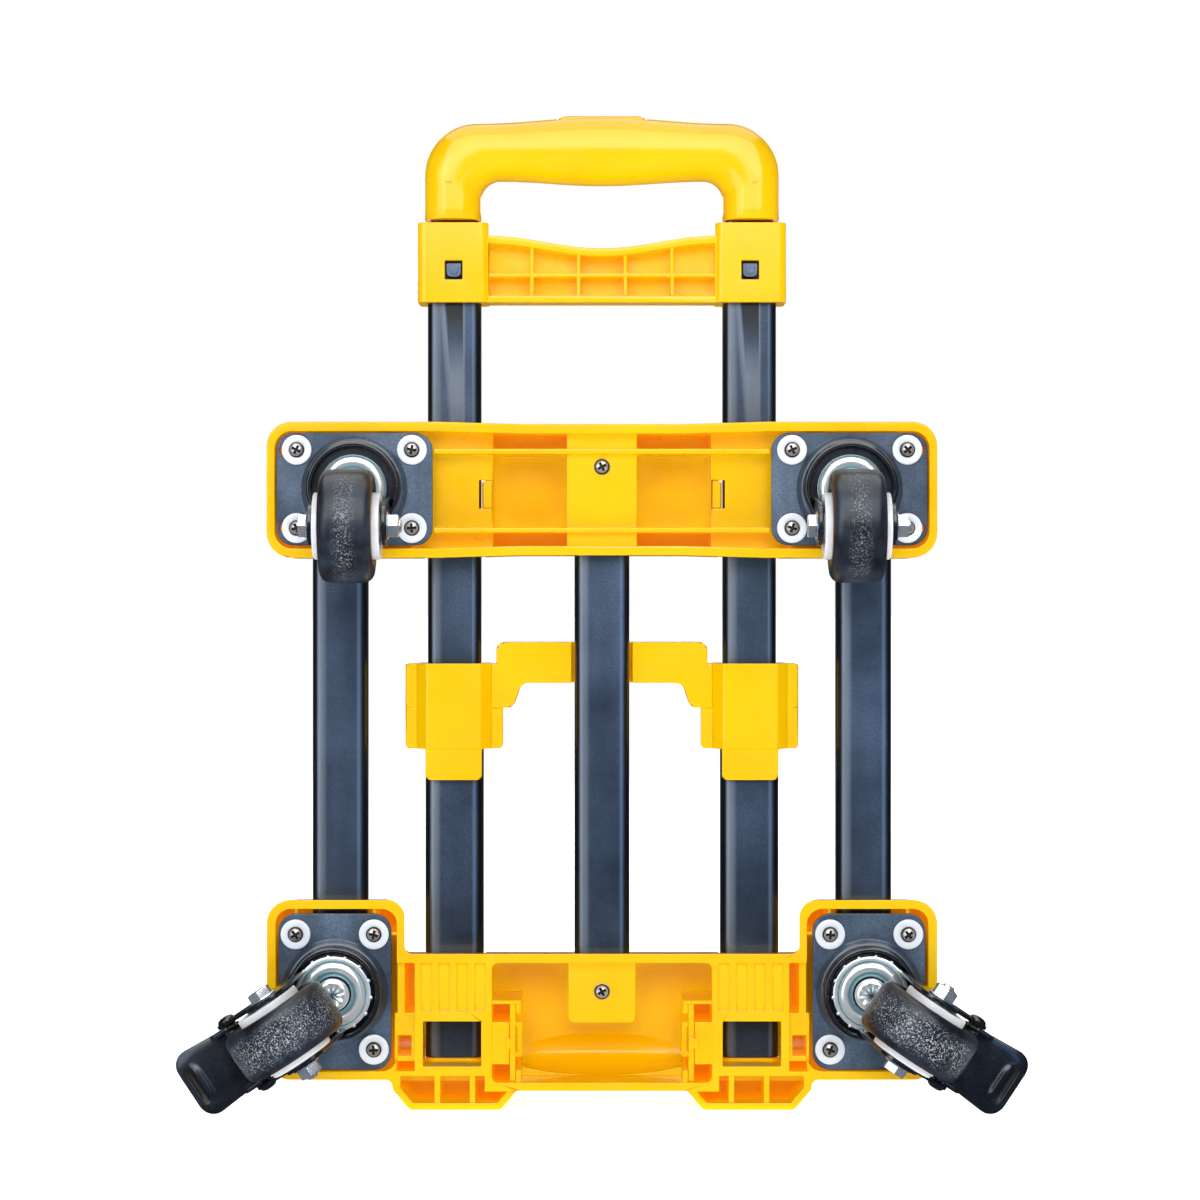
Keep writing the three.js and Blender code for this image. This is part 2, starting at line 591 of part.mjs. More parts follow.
function buttonSpring() {
  const { width, wire, bottom } = SPRING;
  const clear = width - 2 * wire;
  const outside = upright(0, HANDLE.y, width, width, 3.1, bottom, BUTTON.bottom - GAP);
  return outside.subtract(upright(0, HANDLE.y, clear, clear, 2.3, bottom - PAST, BUTTON.bottom));
}

// The steel tooth seen in the window of each crosspiece collar, with one end rounded off.
function stageCatch() {
  const { half, bottom, top, front, back } = CATCH;
  const nose = slab(rectangle(-half, half, bottom, top, 2.4), front, back - 1);
  return nose.add(box([-half, half], [back - 1.2, back], [bottom, top]));
}

function handleMouldings() {
  const catches = SIDES.map(([side, sign]) => {
    const made = mesh(`stage_catch_${side}`, stageCatch(), STEEL);
    made.position.x = sign * HANDLE.x;
    return made;
  });
  return [
    mesh("handle_bridge", handleBridge(), YELLOW),
    mesh("handle_crosspiece", handleCrosspiece(), YELLOW),
    mesh("grip", grip(), YELLOW),
    mesh("grip_button", gripButton(), YELLOW),
    mesh("button_spring", buttonSpring(), STEEL),
    ...catches,
  ];
}

// ---- Handle pivots ---------------------------------------------------------------------------

function pinRetainer() {
  const { x, y, z } = RETAINER;
  const plate = box(x, y, z);
  const tongue = slab(outline([
    [36.9, 22.8, 0.8], [40.5, 22.8], [40.5, 25.4], [39.2, 25.4], [39.2, 36.7], [40.5, 36.7],
    [40.5, 39.3], [36.9, 39.3, 0.8],
  ]), 10.5, 14);
  const peg = box([x[1] - 0.4, x[1] + 2], [-2, 0.6], [28.5, 33]);
  return union([plate, tongue, box(x, [-0.4, y[0] + PAST], [27.5, 34]), peg]);
}

function handlePivots() {
  return SIDES.flatMap(([side, sign]) => {
    const pin = rodX(HANDLE.pin, HANDLE.pinX, HANDLE.y, HANDLE.pivot);
    const retainer = pinRetainer();
    return [
      mesh(`pivot_pin_${side}`, sign > 0 ? pin : mirrored(pin), STEEL),
      mesh(`pin_retainer_${side}`, sign > 0 ? retainer : mirrored(retainer), YELLOW),
    ];
  });
}

// ---- Casters ---------------------------------------------------------------------------------
// Each is drafted with its swivel axis on Y, the plate's back at 0 and the wheel trailing to -Z.

function casterPlate() {
  const { length, width, thickness, radius, holes } = PLATE;
  const [along, across] = [length / 2, width / 2];
  const sheet = slab(rectangle(-along, along, -across, across, radius), -thickness, 0);
  const race = turned([[0, -1], [23.5, -1], [23.5, -thickness], [21.5, -5], [0, -5]]);
  const [u, v] = holes;
  const fastener = turned([[0, -2], [6.9, -2], [6.9, -3.7], [3.5, -3.7], [2.9, -5.9], [0, -5.9]], 8);
  const corners = [[-u, -v], [u, -v], [u, v], [-u, v]];
  const fasteners = corners.map(([x, z]) => movedTo(fastener, x, z));
  return union([sheet, race, ...fasteners])
    .subtract(rodY(8, 0, [-2.4, 1], 0, 12))
    .subtract(rodY(4.9, 0, [-7, 1], 0));
}

function movedTo(piece, x, z) {
  const { vertProperties, triVerts } = piece.getMesh();
  const shift = [x, 0, z];
  return manifold(vertProperties.map((value, i) => value + shift[i % 3]), triVerts);
}

function kingpin() {
  return turned([
    [0, -0.3], [7.4, -0.3], [7.4, -2.1], [4.6, -2.1], [4.6, -12.6], [6.8, -12.6], [5, -15.8],
    [0, -15.8],
  ], 12);
}

function raceCup() {
  const radius = FORK.inside;
  return turned([
    [5.1, -10.5], [radius, -10.5], [radius, -12], [14, -13.4], [9.5, -13.4], [8.2, -12.3],
    [5.1, -12.3],
  ]);
}

function forkLeg(trail, braked) {
  const { boss } = FORK; // radius of the round end that carries the axle
  const far = WHEEL.axle - boss;
  const top = [[-8, -16], [-8, 2], [-22, 0, 8]];
  const around = [[far, boss - trail, boss], [far, -boss - trail, boss]];
  const plain = [[-32, -boss - trail, 6]];
  const arm = [[-34, -33, 4], [-24.2, -50.7, 4.7], [-14.8, -50.7, 4.7], [-14.8, -24, 3]];
  return cheek(outline([...top, ...around, ...(braked ? arm : plain)]), FORK.inside, FORK.outside);
}

function fork(trail, braked) {
  const housing = turned([
    [5, -6.2], [19, -6.2], [FORK.housing, -8.4], [FORK.housing, -13], [18.6, -13],
    [17.8, -10.2], [5, -10.2],
  ]);
  const through = [-20, 20];
  const whole = housing
    .add(bothSides(forkLeg(trail, braked)))
    .subtract(rodX(AXLE.bore, through, WHEEL.axle, -trail));
  return braked ? whole.subtract(rodX(PEDAL.pin + GAP, through, PEDAL.y, PEDAL.z)) : whole;
}

function hub() {
  const { half, hub: end } = WHEEL;
  const edge = half - GAP;
  const profile = [[AXLE.bore, end], [15, end], [19.7, edge]];
  return turnedX([...profile, ...profile.map(([r, x]) => [r, -x]).reverse()]);
}

function tyre() {
  const { radius, half } = WHEEL;
  const edge = half - GAP;
  const profile = [[20, edge], [radius - 2, edge], [radius, edge - 3.7]];
  return turnedX([...profile, ...profile.map(([r, x]) => [r, -x]).reverse()], 24);
}

function axleBolt() {
  const head = rodX(HEXAGON, [AXLE.head, -FORK.outside - GAP], 0, 0, 6);
  return head.add(rodX(AXLE.bolt, [AXLE.head + PAST, AXLE.end], 0, 0));
}

function axleNut() {
  const block = rodX(HEXAGON, [FORK.outside + GAP, AXLE.nut], 0, 0, 6);
  return block.subtract(rodX(AXLE.bore, [10, 30], 0, 0));
}

function brakePedal() {
  const { y, z, pin, length, half, inside, outside } = PEDAL;
  const tongue = slab(outline(symmetric([[half, -length, 8], [14.3, -44, 2]])), -19, -17, 4);
  const bead = slab(rectangle(-12.5, 12.5, -73.5, -70, 1.7), -20.4, -18.5, 1);
  const side = cheek(outline([
    [-29, -55, 3], [-15.3, -56, 3], [-15.3, -42.5, 4], [-22.5, -42.5, 4], [-29, -46.3, 1.5],
  ]), inside, outside);
  const stub = rodX(pin, [inside + PAST, 18.4], y, z, 8);
  const shoe = rodX(1.2, [-14, 14], -27.5, -47.6, 8);
  return union([tongue, bead, shoe, bothSides(side, stub)]);
}

function caster(end, side, sign, { x, z, trail, turn }) {
  const braked = end === "rear";
  const place = `${end}_${side}`;
  const group = new THREE.Group();
  group.position.set(sign * x, CASTER_Y, z);
  const plate = mesh(`caster_plate_${place}`, casterPlate(), BLACK_STEEL);
  plate.rotation.y = braked ? 90 * DEGREE : 0;
  const swivel = new THREE.Group();
  swivel.rotation.y = -sign * turn;
  const wheel = new THREE.Group();
  wheel.position.set(0, WHEEL.axle, -trail);
  wheel.add(
    mesh(`wheel_hub_${place}`, hub(), HUB_GREY),
    mesh(`tyre_${place}`, tyre(), RUBBER),
    mesh(`axle_bolt_${place}`, axleBolt(), STEEL),
    mesh(`axle_nut_${place}`, axleNut(), STEEL),
  );
  swivel.add(
    mesh(`caster_fork_${place}`, fork(trail, braked), BLACK_STEEL),
    mesh(`race_cup_${place}`, raceCup(), ZINC),
    wheel,
  );
  if (braked) swivel.add(mesh(`brake_pedal_${side}`, brakePedal(), BLACK_STEEL));
  group.add(plate, mesh(`kingpin_${place}`, kingpin(), ZINC), swivel);
  return group;
}

// ---- The cart --------------------------------------------------------------------------------

const cart = new THREE.Group();
cart.name = "folding_platform_cart";
cart.add(
  mesh("rear_base", rearBase(), YELLOW),
  mesh("front_bar", frontBar(), YELLOW),
  ...platformTubes(),
  ...centreScrews(),
  ...SIDES.flatMap(([side, sign]) => handleTubes(side, sign)),
  ...handleMouldings(),
  ...handlePivots(),
);
for (const [side, sign] of SIDES) {
  cart.add(caster("front", side, sign, FRONT_CASTER), caster("rear", side, sign, REAR_CASTER));
}
const wheelReach = CASTER_Y + WHEEL.axle - WHEEL.radius;
cart.position.y = -(wheelReach + GRIP.back) / 2;

const part = new THREE.Group();
part.add(cart);

export default part;
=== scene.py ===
"""Folding platform cart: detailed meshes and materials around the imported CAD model.

Pieces are drawn in millimetres in the drafting frame of the cart, where Y = 0 is the rim of the
yellow shells on the wheel side. TO_ROW turns them into metres in the row frame, in which the
materials, the lights and the camera are given.
"""
import math

import bmesh
import bpy
from mathutils import Matrix, Vector


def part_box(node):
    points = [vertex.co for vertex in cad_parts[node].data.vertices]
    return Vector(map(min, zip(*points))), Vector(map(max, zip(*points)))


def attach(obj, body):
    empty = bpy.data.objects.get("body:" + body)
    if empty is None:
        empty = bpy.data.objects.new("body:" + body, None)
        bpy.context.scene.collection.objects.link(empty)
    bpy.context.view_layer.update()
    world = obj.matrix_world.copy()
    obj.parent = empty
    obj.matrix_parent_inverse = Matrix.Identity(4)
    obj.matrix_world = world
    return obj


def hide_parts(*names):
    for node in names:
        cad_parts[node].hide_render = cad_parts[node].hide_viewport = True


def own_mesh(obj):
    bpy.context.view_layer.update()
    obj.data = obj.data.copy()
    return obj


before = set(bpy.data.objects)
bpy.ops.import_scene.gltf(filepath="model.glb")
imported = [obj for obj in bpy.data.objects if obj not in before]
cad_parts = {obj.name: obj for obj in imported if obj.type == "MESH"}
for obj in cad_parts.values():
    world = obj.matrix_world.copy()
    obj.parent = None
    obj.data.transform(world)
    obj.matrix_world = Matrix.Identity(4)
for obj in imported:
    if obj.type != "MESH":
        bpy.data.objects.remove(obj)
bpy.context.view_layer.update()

MM = 0.001
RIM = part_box("front_bar")[0].y
TO_ROW = Matrix.Translation((0, RIM, 0)) @ Matrix.Scale(MM, 4)
SIDES = (("left", -1), ("right", 1))
TURN = math.radians(56.5)  # how far the rear casters are turned outwards at rest
CASTER_Y = 3.7
AXLE_Y = -41.7
HANDLE_X, HANDLE_Y = 69, 27.5  # centres of the handle's tubes
PLATFORM_X, PLATFORM_Y = 121.7, 18.5  # centres of the platform's outer tubes
PEDAL_PIN = (0, -19.5, -46)  # in the frame of a rear caster
PLATE = (36, 26, 8)  # half length, half width and corner radius of a caster plate
PLATE_HOLES = ((-26.5, -18), (26.5, -18), (26.5, 18), (-26.5, 18))
# how far the bolt slots of (place, at the plate's -X end) reach, where they are long ones
LONG_SLOTS = {("front_left", True): 8.0, ("front_right", False): 8.0}
BUTTON = (41.4, 15.4)  # length and depth of the button in the grip
SHARP = 34  # an edge bent by more degrees is rounded, or stays sharp where nothing is rounded
LEVEL = math.radians(0.6)  # CAD faces that meet at less than this are one face
# for each place: end, sign of x, x, z and the wheel's trail
CASTERS = {
    f"{end}_{side}": (end, sign, x, z, trail)
    for end, x, z, trail in (("front", 114, 285.7, 18), ("rear", 123, 54.2, 23))
    for side, sign in SIDES
}


# ---- Materials ------------------------------------------------------------------------------


class Graph:
    """A node material under construction, with its Principled shader."""

    def __init__(self, name):
        self.material = bpy.data.materials.new(name)
        self.material.use_nodes = True
        self.tree = self.material.node_tree
        self.shader = self.tree.nodes["Principled BSDF"]
        self.place = self.node("ShaderNodeTexCoord").outputs["Object"]

    def node(self, kind, attributes=None, **values):
        made = self.tree.nodes.new(kind)
        for key, value in (attributes or {}).items():
            setattr(made, key, value)
        for key, value in values.items():
            self.put(made.inputs[key.replace("_", " ")], value)
        return made

    def put(self, socket, value):
        if isinstance(value, bpy.types.NodeSocket):
            self.tree.links.new(value, socket)
        else:
            socket.default_value = value

    def noise(self, scale, detail=4.0, roughness=0.5, vector=None):
        made = self.node("ShaderNodeTexNoise", Scale=scale, Detail=detail, Roughness=roughness)
        self.put(made.inputs["Vector"], vector or self.place)
        return made.outputs["Fac"]

    def stretched(self, scale):
        made = self.node("ShaderNodeMapping", Vector=self.place, Scale=scale)
        return made.outputs["Vector"]

    def ramp(self, factor, *stops):
        made = self.node("ShaderNodeValToRGB", Fac=factor)
        elements = made.color_ramp.elements
        while len(elements) < len(stops):
            elements.new(0.5)
        for element, (position, colour) in zip(elements, stops):
            element.position = position
            element.color = colour if isinstance(colour, tuple) else (colour,) * 3 + (1,)
        return made.outputs["Color"]

    def mix(self, factor, a, b):
        made = self.node("ShaderNodeMix", {"data_type": "RGBA"})
        self.put(made.inputs["Factor"], factor)
        self.put(made.inputs[6], a)
        self.put(made.inputs[7], b)
        return made.outputs[2]

    def maths(self, operation, a, b, clamp=False):
        made = self.node("ShaderNodeMath", {"operation": operation, "use_clamp": clamp})
        self.put(made.inputs[0], a)
        self.put(made.inputs[1], b)
        return made.outputs[0]

    def hollows(self, distance):
        made = self.node("ShaderNodeAmbientOcclusion", {"samples": 8}, Distance=distance)
        return made.outputs["AO"]

    def edges(self, radius):
        """Near 0 on flat faces and towards 1 along sharp edges."""
        geometry = self.node("ShaderNodeNewGeometry")
        bevel = self.node("ShaderNodeBevel", {"samples": 6}, Radius=radius)
        made = self.node("ShaderNodeVectorMath", {"operation": "DOT_PRODUCT"})
        self.put(made.inputs[0], geometry.outputs["Normal"])
        self.put(made.inputs[1], bevel.outputs["Normal"])
        return self.maths("SUBTRACT", 1.0, made.outputs["Value"], clamp=True)

    def bump(self, height, strength, distance):
        made = self.node("ShaderNodeBump", Height=height, Strength=strength, Distance=distance)
        self.put(self.shader.inputs["Normal"], made.outputs["Normal"])

    def finish(self, **values):
        for key, value in values.items():
            self.put(self.shader.inputs[key.replace("_", " ")], value)
        return self.material


def rgb(red, green, blue):
    return (red, green, blue, 1.0)


def yellow_plastic():
    """Glossy yellow moulding, more orange deep in its pockets as painted shade, a little grimy and
    darker there with more painted shade, and lit there by a painted orange emission.
    """
    g = Graph("yellow_plastic")
    mottle = g.ramp(g.noise(28, 5), (0.3, rgb(0.9, 0.5, 0.0)), (0.7, rgb(0.93, 0.56, 0.0)))
    flow = g.noise(9, 3, vector=g.stretched((1, 1, 0.25)))
    base = g.mix(g.ramp(flow, (0.42, 0.0), (0.62, 0.3)), mottle, rgb(0.94, 0.61, 0.002))
    open_air = g.hollows(0.012)
    # Painted shade: the colour turns orange as the pockets get deeper, standing in for their shade
    # and warm bounced light.
    inside = g.ramp(
        open_air,
        (0.12, rgb(0.82, 0.4, 0.0)),
        (0.4, rgb(0.9, 0.74, 0.0)),
        (0.8, rgb(0.92, 0.64, 0.0)),
    )
    shade = g.ramp(open_air, (0.3, 1.0), (0.85, 0.0))
    # Grime and painted shade: noisy dark red-brown, only where the pockets are deep.
    grime_and_shade = g.maths("MULTIPLY", g.ramp(g.noise(140, 6, 0.65), (0.62, 0.0), (0.74, 0.35)), shade)
    coloured = g.mix(shade, base, inside)
    coloured = g.mix(grime_and_shade, coloured, rgb(0.5, 0.14, 0.002))
    # Painted light: an orange emission in the deep pockets, lighting them though no lamp does.
    painted_glow = g.ramp(open_air, (0.15, rgb(0.22, 0.075, 0.0)), (0.75, rgb(0.02, 0.008, 0.0)))
    g.bump(g.noise(420, 3), 0.06, 0.0002)
    roughness = g.ramp(g.noise(60, 5), (0.3, 0.13), (0.7, 0.2))
    return g.finish(Base_Color=coloured, Roughness=roughness, IOR=1.42, Emission_Color=painted_glow,
                    Emission_Strength=1.0)


def dusty_black(name, base, film, dust, film_scale, roughness, grain, corner, banded=False):
    """Glossy black paint on steel: a blue-grey film on its flats, fine dust, the film laid along
    sharp edges as a painted highlight, painted shade on faces turned sideways and in hollows, and
    painted bands along a tube when banded.
    """
    g = Graph(name)
    clouds = g.noise(film_scale, 6, 0.62)
    streaks = g.noise(60, 4, 0.6, g.stretched((1, 1, 0.12)))
    grains = g.noise(1100, 2, 0.6)
    cloudy = g.maths("MULTIPLY", g.ramp(clouds, (0.3, 0.0), (0.66, 1.0)), streaks)
    cloudy = g.maths("MULTIPLY", cloudy, g.ramp(grains, (0.3, 0.7), (0.7, 1.9)), clamp=True)
    coloured = g.mix(cloudy, base, film)
    specks = g.ramp(g.noise(1500, 2, 0.6), (0.66, 0.0), (0.74, 0.4))
    patches = g.ramp(g.noise(35, 5, 0.7), (0.48, 0.0), (0.72, 0.7))
    coloured = g.mix(g.maths("MULTIPLY", specks, patches), coloured, dust)
    # Painted highlight: the blue-grey film laid in clouds along the sharp edges.
    wear_and_sheen = g.ramp(g.edges(0.0007), (0.03, 0.0), (0.3, 0.3))
    coloured = g.mix(g.maths("MULTIPLY", wear_and_sheen, clouds), coloured, film)
    # Painted shade: faces turned sideways, along X, are darkened towards black, as strongly as
    # corner says.
    apart = g.node("ShaderNodeSeparateXYZ")
    g.put(apart.inputs[0], g.node("ShaderNodeTexCoord").outputs["Normal"])
    sideways = g.maths("ABSOLUTE", apart.outputs["X"], 0.0)
    painted_side_shade = g.ramp(sideways, (0.25, 0.0), (0.6, corner))
    coloured = g.mix(painted_side_shade, coloured, rgb(0.002, 0.003, 0.005))
    if banded:
        coloured = painted_bands(g, coloured, streaks)
    # Painted shade: near black in the hollows.
    dark = g.ramp(g.hollows(0.006), (0.2, 0.95), (0.7, 0.0))
    coloured = g.mix(dark, coloured, rgb(0.0015, 0.0015, 0.002))
    g.bump(g.noise(grain, 4, 0.7), 0.3, 0.0001)
    rough = g.ramp(clouds, (0.3, roughness - 0.06), (0.7, roughness + 0.1))
    return g.finish(Base_Color=coloured, Roughness=rough, IOR=1.4, Coat_Weight=0.5,
                    Coat_Roughness=0.12, Coat_IOR=1.55)


def painted_bands(g, coloured, streaks):
    """Painted bands along a tube: a light painted reflection near one edge, a painted blue
    reflection near the other, painted shade along both sides, and darker lower down.
    """
    across = g.node("ShaderNodeAttribute", {"attribute_name": "across"}).outputs["Fac"]
    apart = g.node("ShaderNodeSeparateXYZ")
    g.put(apart.inputs[0], g.place)
    low = g.ramp(apart.outputs["Z"], (0.04, 0.55), (0.33, 0.0))
    coloured = g.mix(low, coloured, rgb(0.008, 0.014, 0.028))
    # Painted reflection: a light streaky band near one edge.
    pale_reflection = g.ramp(across, (0.08, 0.0), (0.13, 0.75), (0.2, 0.55), (0.28, 0.0))
    pale_reflection = g.maths("MULTIPLY", pale_reflection, g.ramp(streaks, (0.3, 0.5), (0.7, 1.0)))
    coloured = g.mix(pale_reflection, coloured, rgb(0.2, 0.24, 0.31))
    # Painted reflection: a blue band near the other edge.
    blue = g.ramp(across, (0.8, 0.0), (0.85, 0.6), (0.9, 0.0))
    coloured = g.mix(blue, coloured, rgb(0.09, 0.15, 0.28))
    # Painted shade: near black along both sides.
    edge = g.ramp(across, (0.05, 1.0), (0.1, 0.0), (0.9, 0.0), (0.94, 1.0))
    return g.mix(edge, coloured, rgb(0.002, 0.003, 0.006))


def bright_metal(name, light, tint, roughness, brushing, metallic, hollow=0.8):
    g = Graph(name)
    clouds = g.noise(40, 3, 0.5)
    coloured = g.mix(g.ramp(clouds, (0.35, 0.0), (0.65, 1.0)), light, tint)
    # Painted shade: dark teal in the hollows, as strong as hollow.
    hollow_shade = g.hollows(0.003)
    coloured = g.mix(g.ramp(hollow_shade, (0.2, hollow), (0.75, 0.0)), coloured, rgb(0.03, 0.11, 0.15))
    scratches = g.noise(250, 2, 0.5, g.stretched(brushing))
    rough = g.ramp(scratches, (0.3, roughness - 0.03), (0.7, roughness + 0.03))
    return g.finish(Base_Color=coloured, Metallic=metallic, Roughness=rough)


# Near black, laid in screw crosses, round the lower sides of screw heads and in the pedal's slot as
# painted shade.
def painted_recess_shade():
    g = Graph("screw_recess_shade")
    coloured = g.mix(g.noise(700, 4), rgb(0.006, 0.006, 0.008), rgb(0.03, 0.026, 0.022))
    return g.finish(Base_Color=coloured, Roughness=0.5, Metallic=0.4)


def hub_plastic():
    g = Graph("hub_plastic")
    coloured = g.mix(g.ramp(g.noise(90, 6, 0.65), (0.35, 0.0), (0.75, 0.6)),
                     rgb(0.92, 0.95, 1.0), rgb(0.72, 0.72, 0.74))
    # Painted shade: darker and browner in the hollows.
    coloured = g.mix(g.ramp(g.hollows(0.006), (0.2, 0.45), (0.6, 0.0)), coloured,
                     rgb(0.26, 0.22, 0.2))
    g.bump(g.noise(500, 3), 0.15, 0.0001)
    return g.finish(Base_Color=coloured, Roughness=0.42, IOR=1.5)


def tyre_rubber():
    """Black rubber with road grit pressed into the middle of its tread, a painted blue-grey sheen
    in clouds and a painted brownish reflection near its shoulders.
    """
    g = Graph("tyre_rubber")
    across = g.node("ShaderNodeAttribute", {"attribute_name": "across"}).outputs["Fac"]
    across = g.maths("ABSOLUTE", across, 0.0)
    clouds = g.noise(70, 5, 0.6)
    # Painted sheen: blue-grey clouds over the black.
    coloured = g.mix(g.ramp(clouds, (0.35, 0.0), (0.75, 0.8)), rgb(0.004, 0.006, 0.01),
                     rgb(0.034, 0.05, 0.08))
    grains = g.ramp(g.noise(1250, 3, 0.7), (0.52, 0.0), (0.64, 1.0))
    patches = g.ramp(g.noise(120, 4, 0.65), (0.32, 0.2), (0.56, 1.0))
    tread = g.node("ShaderNodeAttribute", {"attribute_name": "grit"}).outputs["Fac"]
    grit = g.maths("MULTIPLY", g.maths("MULTIPLY", grains, patches), tread)
    coloured = g.mix(grit, coloured, rgb(0.5, 0.54, 0.6))
    # Painted reflection: a brownish tint, from the yellow shells, in clouds near both shoulders.
    shoulder_reflection = g.ramp(across, (0.84, 0.0), (0.9, 0.3), (0.96, 0.0))
    coloured = g.mix(g.maths("MULTIPLY", shoulder_reflection, clouds), coloured, rgb(0.13, 0.04, 0.012))
    g.bump(g.noise(1150, 4, 0.7), 0.25, 0.0002)
    rough = g.ramp(grit, (0.0, 0.3), (1.0, 0.7))
    return g.finish(Base_Color=coloured, Roughness=rough, IOR=1.33, Coat_Weight=0.08,
                    Coat_Roughness=0.25)


def pale_floor():
    g = Graph("pale_floor")
    coloured = g.mix(g.noise(3, 4), rgb(0.95, 0.95, 0.95), rgb(0.97, 0.97, 0.97))
    return g.finish(Base_Color=coloured, Roughness=0.8, Emission_Color=rgb(1, 1, 1),
                    Emission_Strength=0.75)


YELLOW = yellow_plastic()
TUBE = dusty_black("black_tube", rgb(0.007, 0.019, 0.044), rgb(0.058, 0.115, 0.225),
                   rgb(0.35, 0.4, 0.5), 14, 0.34, 1300, 0.92, banded=True)
BLACK = dusty_black("black_steel", rgb(0.018, 0.034, 0.058), rgb(0.11, 0.172, 0.27),
                    rgb(0.5, 0.52, 0.56), 30, 0.32, 1600, 0.5)
GLOSS = dusty_black("gloss_black", rgb(0.002, 0.003, 0.006), rgb(0.016, 0.022, 0.038),
                    rgb(0.4, 0.4, 0.42), 40, 0.24, 1600, 0.5)
ZINC = bright_metal("zinc", rgb(0.96, 0.98, 0.99), rgb(0.84, 0.92, 0.95), 0.22, (1, 1, 1), 0.65,
                    0.0)
RIVET = bright_metal("rivet_zinc", rgb(0.96, 0.98, 0.99), rgb(0.84, 0.9, 0.92), 0.24, (1, 1, 1),
                     0.6, 0.9)
# A darker teal copy of the zinc, laid in the cup's groove and seam as painted shade.
GROOVE_SHADE = bright_metal("zinc_groove_shade", rgb(0.34, 0.52, 0.58), rgb(0.22, 0.38, 0.45), 0.3, (1, 1, 1),
                      0.5, 0.0)
STEEL = bright_metal("steel", rgb(0.86, 0.91, 0.98), rgb(0.62, 0.72, 0.84), 0.22, (1, 0.2, 1), 0.85)
PIN = bright_metal("pin_steel", rgb(0.97, 0.98, 0.99), rgb(0.9, 0.92, 0.94), 0.3, (0.2, 1, 1), 0.0,
                   0.0)
SCREW = bright_metal("screw_steel", rgb(0.58, 0.56, 0.55), rgb(0.34, 0.32, 0.31), 0.3, (1, 1, 1),
                     0.6)
WASHER = bright_metal("washer", rgb(0.8, 0.84, 0.91), rgb(0.68, 0.72, 0.8), 0.5, (1, 1, 1), 0.1)
TOOTH = bright_metal("catch_steel", rgb(0.2, 0.25, 0.37), rgb(0.09, 0.12, 0.2), 0.25, (1, 1, 1),
                     0.6)
RECESS_SHADE = painted_recess_shade()
HUB = hub_plastic()
RUBBER = tyre_rubber()


# ---- Mesh helpers ---------------------------------------------------------------------------


def new_object(name, bm):
    """An object in the scene with the bmesh as its mesh. The bmesh is freed."""
    mesh = bpy.data.meshes.new(name)
    bm.to_mesh(mesh)
    bm.free()
    obj = bpy.data.objects.new(name, mesh)
    bpy.context.scene.collection.objects.link(obj)
    return obj


def add_piece(name, bm, body, materials, replaces=(), matrix=None, bevel=None, sharp=SHARP):
    """A finished piece from a bmesh in drafting millimetres. bevel: (width in mm, segments)."""
    bm.transform(TO_ROW @ matrix if matrix else TO_ROW)
    bmesh.ops.recalc_face_normals(bm, faces=bm.faces)
    obj = new_object(name, bm)
    for material in materials:
        obj.data.materials.append(material)
    obj.data.shade_smooth()
    if bevel:
        soften(obj, *bevel, sharp)
    else:
        obj.data.set_sharp_from_angle(angle=math.radians(sharp))
    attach(obj, body)
    if replaces:
        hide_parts(*replaces)
    return obj


def soften(obj, width, segments, angle):
    rounding = obj.modifiers.new("rounding", "BEVEL")
    rounding.width = width * MM
    rounding.segments = segments
    rounding.limit_method = "ANGLE"
    rounding.angle_limit = math.radians(angle)
    rounding.use_clamp_overlap = False
    rounding.miter_outer = "MITER_ARC"
    flatten = obj.modifiers.new("flat_faces", "WEIGHTED_NORMAL")
    flatten.weight = 100
    flatten.keep_sharp = True


def from_cad(node, body, material, bevel):
    """A copy of a CAD node's mesh, its flat faces triangulated anew and its edges rounded."""
    bm = bmesh.new()
    bm.from_mesh(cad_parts[node].data)
    bm.transform(TO_ROW.inverted())
    bmesh.ops.remove_doubles(bm, verts=bm.verts, dist=0.02)
    bmesh.ops.dissolve_limit(bm, angle_limit=LEVEL, verts=bm.verts, edges=bm.edges,
                             delimit={"NORMAL"})
    bmesh.ops.remove_doubles(bm, verts=bm.verts, dist=0.35)
    bmesh.ops.dissolve_degenerate(bm, dist=0.01, edges=bm.edges)
    bmesh.ops.triangulate(bm, faces=bm.faces, quad_method="BEAUTY", ngon_method="BEAUTY")
    bm.normal_update()
    level = [edge for edge in bm.edges if edge.calc_face_angle(1.0) < LEVEL]
    bmesh.ops.beautify_fill(bm, faces=bm.faces, edges=level, method="ANGLE")
    add_piece(node + "_moulding", bm, body, [material], [node], bevel=bevel)


def loft(bm, rings, closed_path=False):
    """Skins a list of rings of equally many points, capped unless the last meets the first."""
    made = [[bm.verts.new(p) for p in ring] for ring in rings]
    count = len(made[0])
    pairs = list(zip(made, made[1:]))
    if closed_path:
        pairs.append((made[-1], made[0]))
    for a, b in pairs:
        for i in range(count):
            j = (i + 1) % count
            bm.faces.new((a[i], a[j], b[j], b[i]))
    if not closed_path:
        bm.faces.new(made[0][::-1])
        bm.faces.new(made[-1])


def lathe(bm, profile, steps=48, axis="Y", material=0, closed=False):
    """Turns [radius, height] points about an axis; a radius of 0 closes the form."""
    rings = []
    for radius, height in profile:
        if radius < 1e-6:
            rings.append([bm.verts.new(on_axis(axis, 0, height, 0))])
            continue
        rings.append([bm.verts.new(on_axis(axis, radius, height, a)) for a in angles(steps)])
    pairs = list(zip(rings, rings[1:]))
    if closed:
        pairs.append((rings[-1], rings[0]))
    for a, b in pairs:
        for i in range(steps):
            j = (i + 1) % steps
            corners = [a[i % len(a)], a[j % len(a)], b[j % len(b)], b[i % len(b)]]
            unique = list(dict.fromkeys(corners))
            bm.faces.new(unique).material_index = material


